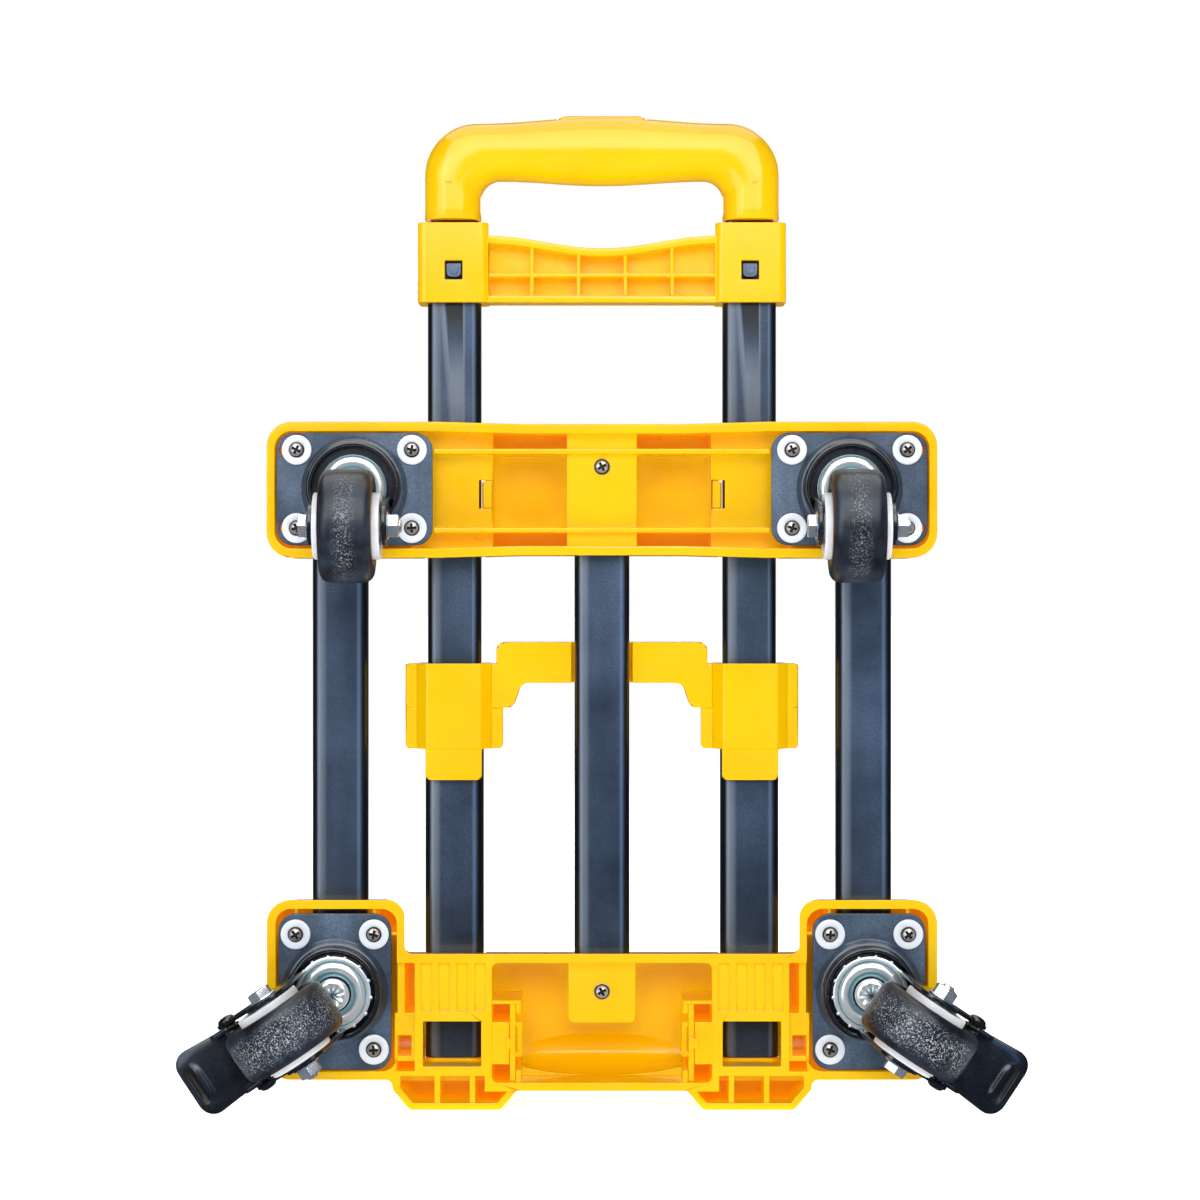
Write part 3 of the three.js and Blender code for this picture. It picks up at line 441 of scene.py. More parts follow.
def angles(steps):
    """Equal steps round a circle."""
    return [2 * math.pi * i / steps for i in range(steps)]


def on_axis(axis, radius, height, angle):
    u, v = radius * math.cos(angle), radius * math.sin(angle)
    return {"X": (height, u, v), "Y": (u, height, v), "Z": (u, v, height)}[axis]


def rounded_rectangle(width, depth, radius, steps=6):
    points = []
    for sx, sy, start in ((1, 1, 0), (-1, 1, 90), (-1, -1, 180), (1, -1, 270)):
        cx, cy = sx * (width / 2 - radius), sy * (depth / 2 - radius)
        for i in range(steps + 1):
            a = math.radians(start + 90 * i / steps)
            points.append((cx + radius * math.cos(a), cy + radius * math.sin(a)))
    return points


def rounded(corners, steps=6):
    """Corners [a, b, radius] as points, with every corner rounded by its radius."""
    points = []
    for i, (a, b, radius) in enumerate(corners):
        here = Vector((a, b))
        before = (Vector(corners[i - 1][:2]) - here).normalized()
        after = (Vector(corners[(i + 1) % len(corners)][:2]) - here).normalized()
        if radius == 0:
            points.append(here)
            continue
        half = math.acos(max(-1, min(1, before.dot(after)))) / 2
        centre = here + (before + after).normalized() * radius / math.sin(half)
        start = here + before * radius / math.tan(half) - centre
        end = here + after * radius / math.tan(half) - centre
        sweep = start.angle_signed(end)
        for k in range(steps + 1):
            turn = Matrix.Rotation(-sweep * k / steps, 2)
            points.append(centre + turn @ start)
    return points


def prism(bm, points, low, high, axis="Y"):
    """An outline given thickness: (x, z) along Y, (y, z) along X, (x, y) along Z."""
    if axis == "Y":
        rings = [[(p[0], level, p[1]) for p in points] for level in (low, high)]
    elif axis == "X":
        rings = [[(level, p[0], p[1]) for p in points] for level in (low, high)]
    else:
        rings = [[(p[0], p[1], level) for p in points] for level in (low, high)]
    loft(bm, rings)


def merge(bm, other):
    """Moves the faces of another bmesh into this one."""
    mesh = bpy.data.meshes.new("joined")
    other.to_mesh(mesh)
    other.free()
    bm.from_mesh(mesh)
    bpy.data.meshes.remove(mesh)


def swivel_frame(place):
    """Places a caster's local millimetres: swivel axis on Y, wheel trailing to -Z."""
    end, sign, x, z, _ = CASTERS[place]
    turn = -sign * TURN if end == "rear" else 0
    return Matrix.Translation((sign * x, CASTER_Y, z)) @ Matrix.Rotation(turn, 4, "Y")


def swivel_body(place):
    return place + "_swivel"


def plate_frame(place):
    """Places a plate's local millimetres. The rear plates stand on end."""
    end, sign, x, z, _ = CASTERS[place]
    turn = math.radians(90) if end == "rear" else 0
    return Matrix.Translation((sign * x, CASTER_Y, z)) @ Matrix.Rotation(turn, 4, "Y")


# ---- Tubes ----------------------------------------------------------------------------------


def square_tube(node, body, x, y, size, bottom, top, hole=None):
    """A hollow rounded rectangular tube with slightly broken end edges."""
    width, depth, radius, wall = size
    outside = rounded_rectangle(width, depth, radius)
    inside = rounded_rectangle(width - 2 * wall, depth - 2 * wall, radius - wall)
    chamfer = 0.25
    drawn = rounded_rectangle(width - 2 * chamfer, depth - 2 * chamfer, radius - chamfer)
    levels = (
        (drawn, bottom), (outside, bottom + chamfer), (outside, top - chamfer), (drawn, top),
        (inside, top), (inside, bottom),
    )
    bm = bmesh.new()
    rings = [[(x + px, y + py, z) for px, py in ring] for ring, z in levels]
    loft(bm, rings, closed_path=True)
    # across: where a point lies across the tube, for the painted reflections and painted shade of
    # painted_bands
    across = bm.verts.layers.float.new("across")
    for vert in bm.verts:
        vert[across] = 0.5 + (vert.co.x - x) / width
    obj = add_piece(node + "_steel", bm, body, [TUBE], [node])
    if hole:
        cut(obj, hole)


def cut(obj, corners):
    """Opens a box-shaped hole, given in drafting millimetres, in a finished piece."""
    low, high = corners
    bm = bmesh.new()
    xs, ys, zs = zip(low, high)
    prism(bm, [(xs[0], zs[0]), (xs[1], zs[0]), (xs[1], zs[1]), (xs[0], zs[1])], *ys)
    bm.transform(TO_ROW)
    bmesh.ops.recalc_face_normals(bm, faces=bm.faces)
    cutter = new_object("cutter", bm)
    opening = obj.modifiers.new("opening", "BOOLEAN")
    opening.object = cutter
    opening.solver = "EXACT"
    graph = bpy.context.evaluated_depsgraph_get()
    result = bpy.data.meshes.new_from_object(obj.evaluated_get(graph), depsgraph=graph)
    obj.modifiers.remove(opening)
    obj.data = result
    bpy.data.objects.remove(cutter)
    result.set_sharp_from_angle(angle=math.radians(SHARP))


# width, depth, corner radius and wall
PLATFORM_TUBE = (25.5, 15, 4.2, 1.1)
OUTER_TUBE = (27, 17, 4.6, 0.9)
MIDDLE_TUBE = (24.8, 14.8, 3.9, 0.9)
INNER_TUBE = (22.4, 12.4, 3.3, 0.9)

square_tube("platform_tube_center", "platform", 0, PLATFORM_Y, PLATFORM_TUBE, 43, 308.5)
for side, sign in SIDES:
    square_tube(f"platform_tube_{side}", "platform", sign * PLATFORM_X, PLATFORM_Y, PLATFORM_TUBE,
                24.5, 306)
    x = sign * HANDLE_X
    window = ((x - 3.7, 15, 384.7), (x + 3.7, HANDLE_Y, 391.7))
    square_tube(f"outer_tube_{side}", "handle", x, HANDLE_Y, OUTER_TUBE, 21.2, 203)
    square_tube(f"middle_tube_{side}", "middle_stage", x, HANDLE_Y, MIDDLE_TUBE, 84, 406.4, window)
    square_tube(f"inner_tube_{side}", "inner_stage", x, HANDLE_Y, INNER_TUBE, 90, 440)
    from_cad(f"tube_plug_{side}", "handle", YELLOW, (0.35, 2))


# ---- Yellow mouldings -----------------------------------------------------------------------

from_cad("rear_base", "platform", YELLOW, (0.45, 2))
from_cad("front_bar", "platform", YELLOW, (0.45, 2))
from_cad("handle_bridge", "handle", YELLOW, (0.5, 2))
from_cad("handle_crosspiece", "middle_stage", YELLOW, (0.4, 2))
for side, sign in SIDES:
    from_cad(f"pin_retainer_{side}", "platform", YELLOW, (0.3, 2))


def grip_path():
    """Inner and outer points of the U-shaped grip, from the left foot to the right one."""
    inner, outer = 56.5, 83.0
    inner_radius, outer_radius = 9, 24.5
    foot, bend, inner_bend = 412, 433.3, 422
    legs, corner, bars = 5, 16, 14
    pairs = []
    for i in range(legs):
        z = foot + (bend - foot) * i / legs
        pairs.append(((-inner, z), (-outer, z)))
    for i in range(corner + 1):
        a = math.radians(180 - 90 * i / corner)
        c, s = math.cos(a), math.sin(a)
        inside = (-inner + inner_radius + inner_radius * c, inner_bend + inner_radius * s)
        outside = (-outer + outer_radius + outer_radius * c, bend + outer_radius * s)
        pairs.append((inside, outside))
    for i in range(1, bars + 1):
        t = i / bars
        swell = (1 - math.cos(math.pi * t)) / 2
        inside = ((-inner + inner_radius) * (1 - t), 431 - 2.1 * swell)
        outside = ((-outer + outer_radius) * (1 - t), 457.8 + 3.1 * swell)
        pairs.append((inside, outside))
    mirror = [((-a[0], a[1]), (-b[0], b[1])) for a, b in reversed(pairs[:-1])]
    return pairs + mirror


def grip_ring(pair, front, back, steps=48, power=2.4):
    """The grip's section at one pair of points: a squarish oval."""
    (ix, iz), (ox, oz) = pair
    ring = []
    for a in angles(steps):
        c, s = math.cos(a), math.sin(a)
        u = math.copysign(abs(c) ** (2 / power), c)
        v = math.copysign(abs(s) ** (2 / power), s)
        x = (ix + ox) / 2 + (ox - ix) / 2 * u
        z = (iz + oz) / 2 + (oz - iz) / 2 * u
        ring.append((x, (front + back) / 2 + (back - front) / 2 * v, z))
    return ring


def grip():
    """The grip. Its feet start a little narrower, for a shadow line against the collars."""
    front, back = 13, 42
    narrower, lift = 0.965, 0.8
    rings = [grip_ring(pair, front, back) for pair in grip_path()]
    tuck = []
    for end in (rings[0], rings[-1]):
        centre = sum((Vector(p) for p in end), Vector()) / len(end)
        tuck.append([centre + (Vector(p) - centre) * narrower for p in end])
    lifted = [[(p[0], p[1], p[2] + lift) for p in ring] for ring in (rings[0], rings[-1])]
    rings = [tuck[0], lifted[0]] + rings[1:-1] + [lifted[1], tuck[1]]
    bm = bmesh.new()
    loft(bm, rings)
    obj = add_piece("grip_moulding", bm, "inner_stage", [YELLOW], ["grip"], sharp=50)
    gap = 0.3
    across, deep = BUTTON[0] / 2 + gap, BUTTON[1] / 2 + gap
    cut(obj, ((-across, HANDLE_Y - deep, 448.8), (across, HANDLE_Y + deep, 470)))


def grip_button():
    """The thumb button, crowned along its length and rounded at its rim."""
    rings = []
    for z, inset in ((451.6, 0.4), (452.4, 0.0), (458.2, 0.0), (459.5, 0.4), (460.1, 1.3)):
        points = rounded_rectangle(BUTTON[0] - 2 * inset, BUTTON[1] - 2 * inset, 3, 5)
        crown = 1.2 if z > 458 else 0
        rings.append([(x, HANDLE_Y + y, z + crown * (1 - (x / (BUTTON[0] / 2)) ** 2))
                      for x, y in points])
    bm = bmesh.new()
    loft(bm, rings)
    add_piece("grip_button_moulding", bm, "button", [YELLOW], ["grip_button"], sharp=60)


def coil(turns, radius, wire, bottom, top, sides=8, per_turn=20):
    """A coil spring of round wire between two levels, under the button."""
    count = int(turns * per_turn)
    rings = []
    for i in range(count + 1):
        a = 2 * math.pi * i / per_turn
        z = bottom + wire + (top - bottom - 2 * wire) * i / count
        out = Vector((math.cos(a), math.sin(a), 0))
        centre = Vector((0, HANDLE_Y, z)) + out * radius
        rings.append([centre + out * wire * math.cos(b) + Vector((0, 0, wire * math.sin(b)))
                      for b in angles(sides)])
    bm = bmesh.new()
    loft(bm, rings)
    return bm


grip()
grip_button()
spring = add_piece("button_spring_coil", coil(4.5, 2.8, 0.4, 441.3, 451.2), "inner_stage", [STEEL],
                   ["button_spring"], sharp=60)
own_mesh(spring)


def stage_catch(side, sign):
    """The steel tooth seen in the window of a crosspiece collar, with a raised face."""
    x = sign * HANDLE_X
    nose = rounded([(x - 3.4, 385, 2.2), (x + 3.4, 385, 2.2), (x + 3.4, 391.4, 0.3),
                    (x - 3.4, 391.4, 0.3)])
    bm = bmesh.new()
    prism(bm, nose, 16.9, 19.5)
    prism(bm, rounded([(x - 2.1, 386.2, 1.5), (x + 2.1, 386.2, 1.5), (x + 2.1, 390.4, 0.4),
                       (x - 2.1, 390.4, 0.4)]), 16.6, 17.2)
    add_piece(f"stage_catch_{side}_tooth", bm, f"catch_{side}", [TOOTH], [f"stage_catch_{side}"],
              bevel=(0.3, 2))


def pivot_pin(side, sign):
    """The long steel pin, chamfered at both ends."""
    bm = bmesh.new()
    profile = [(0, 43.6), (1.9, 43.6), (2.5, 44.4), (2.5, 94.0), (1.9, 95), (0, 95)]
    lathe(bm, profile, 24, "X")
    place = Matrix.Translation((0, HANDLE_Y, 27)) @ Matrix.Diagonal((sign, 1, 1, 1))
    add_piece(f"pivot_pin_{side}_steel", bm, "platform", [PIN], [f"pivot_pin_{side}"],
              matrix=place)


for side, sign in SIDES:
    stage_catch(side, sign)
    pivot_pin(side, sign)


# ---- Screws ---------------------------------------------------------------------------------


def cross_outline(arm, half):
    """A cross of four arms, each as long as arm and twice half wide."""
    return [(half, half), (half, arm), (-half, arm), (-half, half), (-arm, half), (-arm, -half),
            (-half, -half), (-half, -arm), (half, -arm), (half, -half), (arm, -half), (arm, half)]


def phillips_head(bm, x, z, base, radius, height, turn):
    """A domed cross-head screw whose face looks towards -Y, standing on the level base."""
    # The place named dark holds the near-black material: painted shade on the head's lower sides
    # and in its cross.
    dark, steel = 1, 2  # places of the two materials in the piece's list
    steps = 24
    scale = radius / 3.5
    profile = [(3.5, 0), (3.5, 0.35), (3.2, 0.42), (3.1, 0.9), (2.85, 1.5), (2.4, 1.9)]
    rings = [[bm.verts.new((x + scale * r * math.cos(a), base - h / 2.1 * height,
                            z + scale * r * math.sin(a))) for a in angles(steps)]
             for r, h in profile]
    for k, (a, b) in enumerate(zip(rings, rings[1:])):
        for i in range(steps):
            j = (i + 1) % steps
            bm.faces.new((a[i], a[j], b[j], b[i])).material_index = dark if k < 4 else steel
    top = base - height
    c, s = math.cos(turn), math.sin(turn)
    cross = [bm.verts.new((x + u * c - v * s, top, z + u * s + v * c))
             for u, v in cross_outline(2.1 * scale, 0.62 * scale)]
    edges = border_edges(bm, rings[-1]) + border_edges(bm, cross)
    for face in bmesh.ops.triangle_fill(bm, use_beauty=True, edges=edges)["geom"]:
        if isinstance(face, bmesh.types.BMFace):
            face.material_index = steel
    centre = Vector((x, 0, z))
    deep = []
    for vert in cross:
        flat = Vector((vert.co.x, 0, vert.co.z))
        inner = centre + (flat - centre) * 0.55
        deep.append(bm.verts.new((inner.x, top + 1.3 * scale, inner.z)))
    for i in range(len(cross)):
        j = (i + 1) % len(cross)
        bm.faces.new((cross[i], cross[j], deep[j], deep[i])).material_index = dark
    bm.faces.new(deep).material_index = dark


def border_edges(bm, ring):
    """The edges round a ring of vertices, made where they are missing."""
    return [edge_between(bm, ring[i], ring[(i + 1) % len(ring)]) for i in range(len(ring))]


def edge_between(bm, a, b):
    return bm.edges.get((a, b)) or bm.edges.new((a, b))


def centre_screws():
    """The two screws that hold the middle tube, each with a small collar and its shank."""
    land = 7.7
    for name, z in (("center_screw_rear", 53.6), ("center_screw_front", 296.2)):
        bm = bmesh.new()
        phillips_head(bm, 0, z, land, 3.5, 2.2, 0.5)
        lathe(bm, [(0, land), (3.8, land), (3.8, 7.2), (3.5, 7.0)], 24)
        lathe(bm, [(2.2, land), (2.2, 15.6), (1.6, 16), (0, 16)], 16)
        bmesh.ops.translate(bm, vec=(0, 0, z), verts=[v for v in bm.verts if abs(v.co.z) < 5])
        add_piece(name + "_head", bm, "platform", [SCREW, RECESS_SHADE, SCREW], [name])


# ---- Casters --------------------------------------------------------------------------------


def caster_plate(place):
    """The mounting plate: rounded corners and four bolt slots, 2.5 mm thick."""
    length, width, corner = PLATE
    bm = bmesh.new()
    loops = [rounded([(-length, -width, corner), (length, -width, corner),
                      (length, width, corner), (-length, width, corner)], 8)]
    for u, v in PLATE_HOLES:
        loops.append(obround(u, v, LONG_SLOTS.get((place, u < 0), 4.6), 3.3))
    flat = [[bm.verts.new((p[0], -2.5, p[1])) for p in loop] for loop in loops]
    edges = [edge for loop in flat for edge in border_edges(bm, loop)]
    bmesh.ops.triangle_fill(bm, use_beauty=True, edges=edges)
    made = bmesh.ops.extrude_face_region(bm, geom=list(bm.faces))
    moved = [v for v in made["geom"] if isinstance(v, bmesh.types.BMVert)]
    bmesh.ops.translate(bm, vec=(0, 2.5, 0), verts=moved)
    bmesh.ops.dissolve_limit(bm, angle_limit=0.01, verts=bm.verts, edges=bm.edges)
    add_piece(f"caster_plate_{place}_sheet", bm, "platform", [BLACK],
              [f"caster_plate_{place}"], matrix=plate_frame(place), bevel=(0.35, 2))


def race_ring(place):
    """The ball race pressed up round the middle of the plate."""
    bm = bmesh.new()
    profile = [(24.6, -2.4), (24.1, -2.75), (23.4, -3.5), (22.7, -4.5), (21.9, -5.0),
               (19.5, -5.05), (6, -5.05)]
    lathe(bm, profile, 72)
    add_piece(f"caster_race_{place}_ring", bm, "platform", [BLACK], matrix=plate_frame(place),
              sharp=60)


def obround(u, v, reach, half, steps=6):
    """A slot that ends reach away from (u, v) on the side of the plate's edge."""
    side = -1 if u < 0 else 1
    points = []
    for centre, start in ((u + side * (reach - half), 0), (u - side * 1.2, 180)):
        for i in range(steps + 1):
            a = math.radians(start - 90 + 180 * i / steps)
            points.append((centre + side * half * math.cos(a), v + half * math.sin(a)))
    return points


def plate_screws(place, index):
    """Four domed washers with a screw in each, every cross turned differently."""
    bm = bmesh.new()
    for k, (u, v) in enumerate(PLATE_HOLES):
        ring = bmesh.new()
        lathe(ring, [(3.2, -2.4), (6.7, -2.4), (6.9, -2.6), (6.9, -3.35), (6.75, -3.6),
                     (6.5, -3.68), (6.2, -3.7), (4.1, -3.72), (3.2, -3.4)], 40, closed=True)
        ring.transform(Matrix.Translation((u, 0, v)))
        merge(bm, ring)
        phillips_head(bm, u, v, -3.55, 3.55, 2.2, 0.35 + 1.3 * k + 0.9 * index)
    add_piece(f"caster_screws_{place}", bm, "platform", [WASHER, RECESS_SHADE, SCREW],
              matrix=plate_frame(place), sharp=40)


def kingpin(place):
    """The riveted end of the swivel pin, stamped with a star."""
    bm = bmesh.new()
    steps = 80
    rings = []
    for r, h in ((4.6, -2.1), (4.6, -12.5), (7.2, -12.6), (7.6, -13.4), (7.4, -14.6), (6.5, -15.4),
                 (5.6, -15.7)):
        rings.append([(r * math.cos(a), h, r * math.sin(a)) for a in angles(steps)])
    for r, depth in ((5.2, 0.15), (4.4, 0.9), (3.2, 1.3), (2.0, 1.4), (0.9, 1.2), (0.15, 1.0)):
        ring = []
        for a in angles(steps):
            groove = (0.5 + 0.5 * math.cos(9 * a)) ** 0.7
            ring.append((r * math.cos(a), -15.8 + depth * groove, r * math.sin(a)))
        rings.append(ring)
    loft(bm, rings)
    add_piece(f"kingpin_{place}_rivet", bm, "platform", [RIVET], [f"kingpin_{place}"],
              matrix=swivel_frame(place), sharp=60)


def race_cup(place):
    """Bright bearing cup. The rear ones stand in a ring crimped over its balls."""
    bm = bmesh.new()
    valley = [(8.3, -10.4), (8.3, -11.4), (9.1, -11.5), (9.7, -11.9), (10.3, -12.6), (10.9, -13.1)]
    crown = [(10.9, -13.1), (11.7, -13.4), (12.6, -13.4), (13.5, -13.1), (14.2, -12.5),
             (14.6, -12.0)]
    if CASTERS[place][0] == "rear":
        rim = [(15.4, -12.0), (16.4, -12.05), (17.2, -11.8), (17.4, -11.0), (17.0, -10.4)]
        for a in angles(14):
            bump = bmesh.new()
            lathe(bump, [(1.05, 0.7), (1.0, -0.2), (0.75, -0.65), (0.4, -0.85), (0, -0.9)], 12)
            bump.transform(Matrix.Translation((17.2 * math.cos(a), -11.1, 17.2 * math.sin(a))))
            merge(bm, bump)
    else:
        rim = [(15.4, -11.2), (15.4, -10.5)]
    seam = [crown[-1], (15.0, -11.4), rim[0]]
    # The valley and the seam take the darker teal zinc as painted shade.
    for material, profile in ((1, valley), (0, crown), (1, seam), (0, rim)):
        lathe(bm, profile, 72, material=material)
    bmesh.ops.remove_doubles(bm, verts=bm.verts, dist=0.001)
    add_piece(f"race_cup_{place}_bearing", bm, swivel_body(place), [ZINC, GROOVE_SHADE],
              [f"race_cup_{place}"], matrix=swivel_frame(place), sharp=50)


def crown_path(radius, half, end):
    """The crown's outline in the XZ plane: a circle above, drawn in to the legs below."""
    right = []
    for i in range(14):
        z = end - end * i / 14
        draw = 0.5 + 0.5 * math.cos(math.pi * min(1, -z / 17))
        right.append(Vector((half + (radius - half) * draw, z)))
    arc = [Vector((radius * math.cos(a), radius * math.sin(a)))
           for a in (math.pi * i / 40 for i in range(41))]
    left = [Vector((-p.x, p.y)) for p in reversed(right)]
    return right + arc + left


def fork(place):
    """Pressed steel fork: a rolled crown round the bearing that runs down into two legs."""
    end, _, _, _, trail = CASTERS[place]
    braked = end == "rear"
    bm = bmesh.new()
    rolled_crown(bm)
    for sign in (-1, 1):
        low, high = sorted((sign * 15.5, sign * 17.3))
        prism(bm, leg_outline(trail, braked), low, high, "X")
        boss = [(6.4, 16.9), (6.4, 17.5), (6.0, 17.75), (3.3, 17.75)]
        turned_at(bm, boss, 32, (0, AXLE_Y, -trail), sign)
        if braked:
            rivet = [(4.1, 17.2), (4.1, 17.9), (3.4, 18.7), (2.0, 19.2), (0, 19.35)]
            turned_at(bm, rivet, 24, PEDAL_PIN, sign)
    add_piece(f"caster_fork_{place}_pressing", bm, swivel_body(place), [GLOSS],
              [f"caster_fork_{place}"], matrix=swivel_frame(place), bevel=(0.3, 2), sharp=40)


def turned_at(bm, profile, steps, centre, sign=1):
    """Adds a profile turned about X through a point, mirrored to -X where sign is -1."""
    part = bmesh.new()
    lathe(part, profile, steps, "X")
    part.transform(Matrix.Translation(centre) @ Matrix.Diagonal((sign, 1, 1, 1)))
    merge(bm, part)


def rolled_crown(bm):
    """The crown's lip, swept along crown_path and thinner where it runs down the legs."""
    path = crown_path(21.9, 17.3, -21)
    section = [(0, -5.7), (0, -11.4), (0.3, -12.4), (0.95, -13.0), (1.8, -13.05), (2.45, -12.5),
               (2.75, -11.6), (2.75, -8.4)]
    rows = []
    for i, p in enumerate(path):
        before, after = path[max(i - 1, 0)], path[min(i + 1, len(path) - 1)]
        along = (after - before).normalized()
        inward = Vector((-along.y, along.x))
        limit = 1.8 if p.y < -8 else 2.75
        row = []
        for depth, y in section:
            reach = min(depth, limit)
            row.append(bm.verts.new((p.x + inward.x * reach, y, p.y + inward.y * reach)))
        rows.append(row)
    for a, b in zip(rows, rows[1:]):
        for i in range(len(section) - 1):
            bm.faces.new((a[i], a[i + 1], b[i + 1], b[i]))
    bm.faces.new([row[-1] for row in rows])
    bm.faces.new([row[0] for row in rows])
    for row in (rows[0], rows[-1]):
        bm.faces.new(row)


def leg_outline(trail, braked):
    """A leg from the side, (y, z), with an arm for the pedal on a braked caster."""
    boss = 8.7
    far = AXLE_Y - boss
    corners = [(-9, -20, 0), (-9, -4, 0), (-20, -5, 8), (far, boss - trail, boss),
               (far, -boss - trail, boss)]
    if braked:
        corners += [(-34, -33, 4), (-24.2, -50.7, 4.6), (-14.8, -50.7, 4.6), (-14.8, -26, 3)]
    else:
        corners += [(-32, -boss - trail, 6)]
    return rounded(corners, 10)


def hexagon(bm, radius, low, high):
    """A hexagonal head along X."""
    corner = radius / math.cos(math.radians(30))
    sides = [math.radians(60) * i for i in range(6)]
    levels = ((low, corner), (high, corner), (high, corner * 0.8), (high, 0.5))
    loft(bm, [[(level, r * math.cos(a), r * math.sin(a)) for a in sides] for level, r in levels])


def axle_frame(place):
    return swivel_frame(place) @ Matrix.Translation((0, AXLE_Y, -CASTERS[place][4]))


def axle(place):
    """The axle bolt with its head and washer face, and the nut on its other end."""
    at = axle_frame(place)
    bm = bmesh.new()
    hexagon(bm, 5, -18.2, -21.9)
    lathe(bm, [(0, -17.4), (6.6, -17.4), (6.6, -17.9), (6.1, -18.3), (0, -18.3)], 32, "X")
    lathe(bm, [(0, -18), (3, -18), (3, 23.7), (2.4, 24.5), (0, 24.5)], 20, "X")
    add_piece(f"axle_bolt_{place}_steel", bm, swivel_body(place), [STEEL], [f"axle_bolt_{place}"],
              matrix=at, bevel=(0.3, 2), sharp=30)
    bm = bmesh.new()
    lathe(bm, [(3.05, 17.6), (6.6, 17.6), (6.6, 18.1), (6.2, 18.4), (3.05, 18.4)], 32, "X",
          closed=True)
    hexagon(bm, 5, 18.3, 22.9)
    lathe(bm, [(4.3, 22.8), (4.2, 23.1), (3.6, 23.3), (3.0, 23.2)], 28, "X")
    add_piece(f"axle_nut_{place}_steel", bm, swivel_body(place), [STEEL], [f"axle_nut_{place}"],
              matrix=at, bevel=(0.3, 2), sharp=30)


def mirrored(half):
    """A wheel's profile from its half, given as [radius, x]."""
    return half + [(r, -x) for r, x in reversed(half)]


def wheel(place):
    tyre(place)
    hub(place)


def tyre(place):
    """The tyre, with two values at each point: how far out it lies and how gritty it is."""
    half = [(15.3, 9.6), (15.9, 11.2), (17.2, 11.9), (20.5, 12.05), (22.4, 11.8), (23.9, 10.9),
            (24.9, 9.5), (25.35, 7.6), (25.43, 6.2), (25.48, 4.5), (25.5, 3), (25.5, 1.5),
            (25.5, 0.2)]
    bm = bmesh.new()
    lathe(bm, mirrored(half), 96, "X", closed=True)
    across = bm.verts.layers.float.new("across")
    grit = bm.verts.layers.float.new("grit")
    widest = max(x for _, x in half)
    tread = 24  # radius beyond which grit sticks
    # how much grit the tread holds, more on the rear casters
    wear_and_sheen, spread = (1.3, 0.8) if CASTERS[place][0] == "rear" else (0.55, 0.45)
    for vert in bm.verts:
        out = abs(vert.co.x) / widest
        vert[across] = out
        vert[grit] = wear_and_sheen * max(0, 1 - (out / spread) ** 2) if vert.co.yz.length > tread else 0
    add_piece(f"tyre_{place}_rubber", bm, place + "_wheel", [RUBBER], [f"tyre_{place}"],
              matrix=axle_frame(place), sharp=60)


def hub(place):
    half = [(3.3, 14.9), (5.6, 14.9), (6.0, 14.2), (12.6, 14.0), (13.2, 14.6), (13.9, 14.9),
            (14.6, 14.9), (15.0, 14.5), (15.0, 9.4)]
    bm = bmesh.new()
    lathe(bm, mirrored(half), 72, "X", closed=True)
    add_piece(f"wheel_hub_{place}_plastic", bm, place + "_wheel", [HUB], [f"wheel_hub_{place}"],
              matrix=axle_frame(place), sharp=40)


def pedal(side):
    """The brake pedal: a bent tongue, two side arms on stubs and the brake shoe."""
    bm = bmesh.new()
    tongue(bm)
    arm = rounded([(-29, -55, 3), (-16.5, -57, 3), (-15.5, -42.5, 4), (-22.5, -42.5, 4),
                   (-29, -46.3, 1.5)])
    for sign in (-1, 1):
        low, high = sorted((sign * 13.2, sign * 15.1))
        prism(bm, arm, low, high, "X")
        turned_at(bm, [(0, 14.5), (2, 14.5), (2, 18.3), (0, 18.3)], 20, PEDAL_PIN, sign)
    turned_at(bm, [(0, -13.8), (1.2, -13.8), (1.2, 13.8), (0, 13.8)], 16, (0, -27.5, -47.6))
    add_piece(f"brake_pedal_{side}_pressing", bm, f"{side}_brake_pedal", [GLOSS, RECESS_SHADE],
              [f"brake_pedal_{side}"], matrix=swivel_frame(f"rear_{side}"), bevel=(0.4, 2),
              sharp=45)


def tongue(bm):
    """The pedal's sheet, 1.8 mm thick, whose slot takes the second material, near black as painted
    shade.
    """
    rows = [tongue_row(i / 32) for i in range(33)]
    top = [[bm.verts.new(p) for p in row] for row in rows]
    low = [[bm.verts.new((p[0], p[1] + 1.8, p[2])) for p in row] for row in rows]
    for sheet in (top, low):
        for a, b in zip(sheet, sheet[1:]):
            for i in range(len(a) - 1):
                corners = (a[i], a[i + 1], b[i + 1], b[i])
                pressed = sheet is top and any(in_slot(v.co.x, v.co.z) for v in corners)
                bm.faces.new(corners).material_index = int(pressed)
    border = border_of(top)
    under = border_of(low)
    for i in range(len(border)):
        j = (i + 1) % len(border)
        bm.faces.new((border[i], border[j], under[j], under[i]))


def tongue_row(t, columns=24):
    """Points across the tongue: t runs from 0 behind the wheel to 1 at its rounded end."""
    start, length, corner = 42, 78, 8
    z = -start - (length - start) * (1 - (1 - t) ** 1.5)
    width = 14.3 + 2.5 * (-44 - z) / 34
    near_end = corner - (z + length)
    if near_end > 0:
        width -= corner - math.sqrt(max(0, corner ** 2 - near_end ** 2))
    bend = 1 / (1 + math.exp((z + 48.5) / 1.3))
    level = -16.9 - 1.9 * bend + 0.9 * max(0, (-66 - z) / 12) ** 2
    row = []
    for k in range(columns + 1):
        s = -1 + 2 * k / columns
        lip = 0.55 * max(0, abs(s) - 0.8) / 0.2
        row.append((s * width, level + lip - bead(s * width, z), z))
    return row


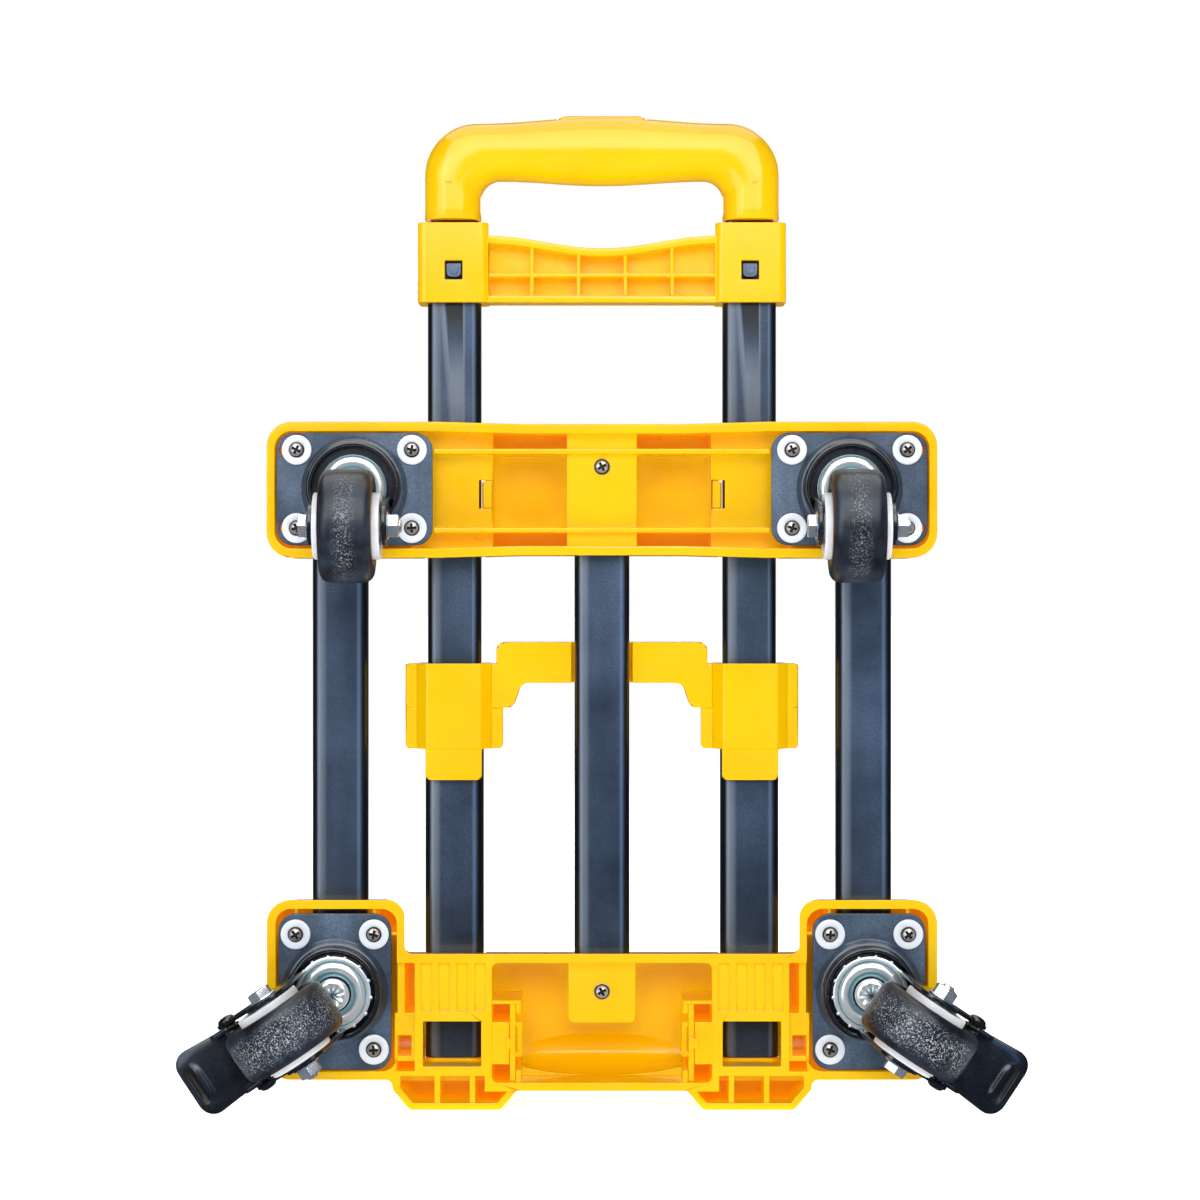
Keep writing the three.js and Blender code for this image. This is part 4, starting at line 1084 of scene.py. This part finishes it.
def bead(x, z):
    """Height of the pressed bar near the end of the pedal, with a slot pressed in beyond it."""
    u = max(0.0, 1 - (abs(x) / 8.6) ** 6)
    bar = max(0.0, 1 - (abs(z + 70.2) / 2.2) ** 3)
    return u * (1.2 * bar - (1.3 if in_slot(x, z) else 0.0))


def in_slot(x, z):
    return abs(x) < 8 and -74.9 < z < -72.5


def border_of(sheet):
    """The vertices round the edge of a sheet given as rows."""
    return (sheet[0] + [row[-1] for row in sheet[1:]] + sheet[-1][-2::-1]
            + [row[0] for row in sheet[-2:0:-1]])


centre_screws()
for index, place in enumerate(CASTERS):
    caster_plate(place)
    race_ring(place)
    plate_screws(place, index)
    kingpin(place)
    race_cup(place)
    fork(place)
    axle(place)
    wheel(place)
for side, _ in SIDES:
    pedal(side)


# ---- Studio ---------------------------------------------------------------------------------


def floor():
    bm = bmesh.new()
    reach = 40
    prism(bm, [(-reach, -reach), (reach, -reach), (reach, reach), (-reach, reach)], -0.05, 0.0, "Z")
    bmesh.ops.recalc_face_normals(bm, faces=bm.faces)
    obj = new_object("floor", bm)
    obj.data.materials.append(pale_floor())
    obj.visible_glossy = False


def area_light(name, place, aim, size, power, colour, diffuse=True, glossy=True):
    data = bpy.data.lights.new(name, "AREA")
    data.shape = "RECTANGLE"
    data.size, data.size_y = size
    data.energy = power
    data.color = colour
    obj = bpy.data.objects.new(name, data)
    obj.location = place
    obj.rotation_euler = (Vector(aim) - Vector(place)).to_track_quat("-Z", "Y").to_euler()
    obj.visible_diffuse = diffuse
    obj.visible_glossy = glossy
    bpy.context.scene.collection.objects.link(obj)


def flags():
    """A dark tent seen only in reflections, so that the gloss shows the panels set inside it."""
    bm = bmesh.new()
    ring = [(3.3 * math.cos(a), 3.3 * math.sin(a)) for a in angles(16)]
    loft(bm, [[(x, y, level) for x, y in ring] for level in (-0.5, 4.2)])
    obj = new_object("flags", bm)
    g = Graph("flag_cloth")
    cloth = g.mix(g.noise(2, 3), rgb(0.02, 0.028, 0.04), rgb(0.04, 0.05, 0.07))
    obj.data.materials.append(g.finish(Base_Color=cloth, Roughness=0.9, Emission_Color=cloth,
                                       Emission_Strength=0.15))
    obj.visible_camera = False
    obj.visible_diffuse = False
    obj.visible_shadow = False
    obj.visible_transmission = False


def studio_world():
    """A world that is white behind the cart and dim in the light it casts."""
    world = bpy.data.worlds.new("studio")
    bpy.context.scene.world = world
    world.use_nodes = True
    background = world.node_tree.nodes["Background"]
    background.inputs["Color"].default_value = (1, 1, 1, 1)
    rays = world.node_tree.nodes.new("ShaderNodeLightPath")
    level = world.node_tree.nodes.new("ShaderNodeMapRange")
    level.inputs["To Min"].default_value = 0.42
    world.node_tree.links.new(rays.outputs["Is Camera Ray"], level.inputs["Value"])
    world.node_tree.links.new(level.outputs["Result"], background.inputs["Strength"])


def front_camera():
    """The photograph's view: level, from straight in front of the cart's middle."""
    data = bpy.data.cameras.new("camera")
    data.lens = 91.3
    data.sensor_width = 36
    camera = bpy.data.objects.new("camera", data)
    camera.location = (-0.0009, -1.38925, 0.2346)
    camera.rotation_euler = (math.radians(90), 0, 0)
    bpy.context.scene.collection.objects.link(camera)
    bpy.context.scene.camera = camera
    bpy.context.scene.view_settings.view_transform = "Standard"


floor()
flags()
centre = (0, 0, 0.24)
shine = {"diffuse": False}
soft = {"glossy": False}
area_light("key", (0, -2.3, 1.15), centre, (1.6, 1.0), 27.5, (1, 1, 1), **soft)
area_light("top", (0, 0.3, 2.2), centre, (1.6, 1.2), 4, (1, 1, 1), **soft)
area_light("back", (0, 2.3, 1.2), centre, (2, 1.2), 12, (1, 1, 1))
area_light("roof_panel", (0, -1.85, 1.6), centre, (3.2, 2.1), 92, (1, 1, 0.97), **shine)
area_light("overhead", (0, 0.2, 2.4), centre, (3, 2.6), 66, (1, 1, 0.97), **shine)
area_light("left_panel", (-1.55, -2.05, 0.3), centre, (1.6, 2.2), 30, (0.75, 0.87, 1), **shine)
area_light("right_strip", (0.95, -2.5, 0.3), centre, (0.22, 2.2), 4, (0.2, 0.5, 1), **shine)
studio_world()
front_camera()
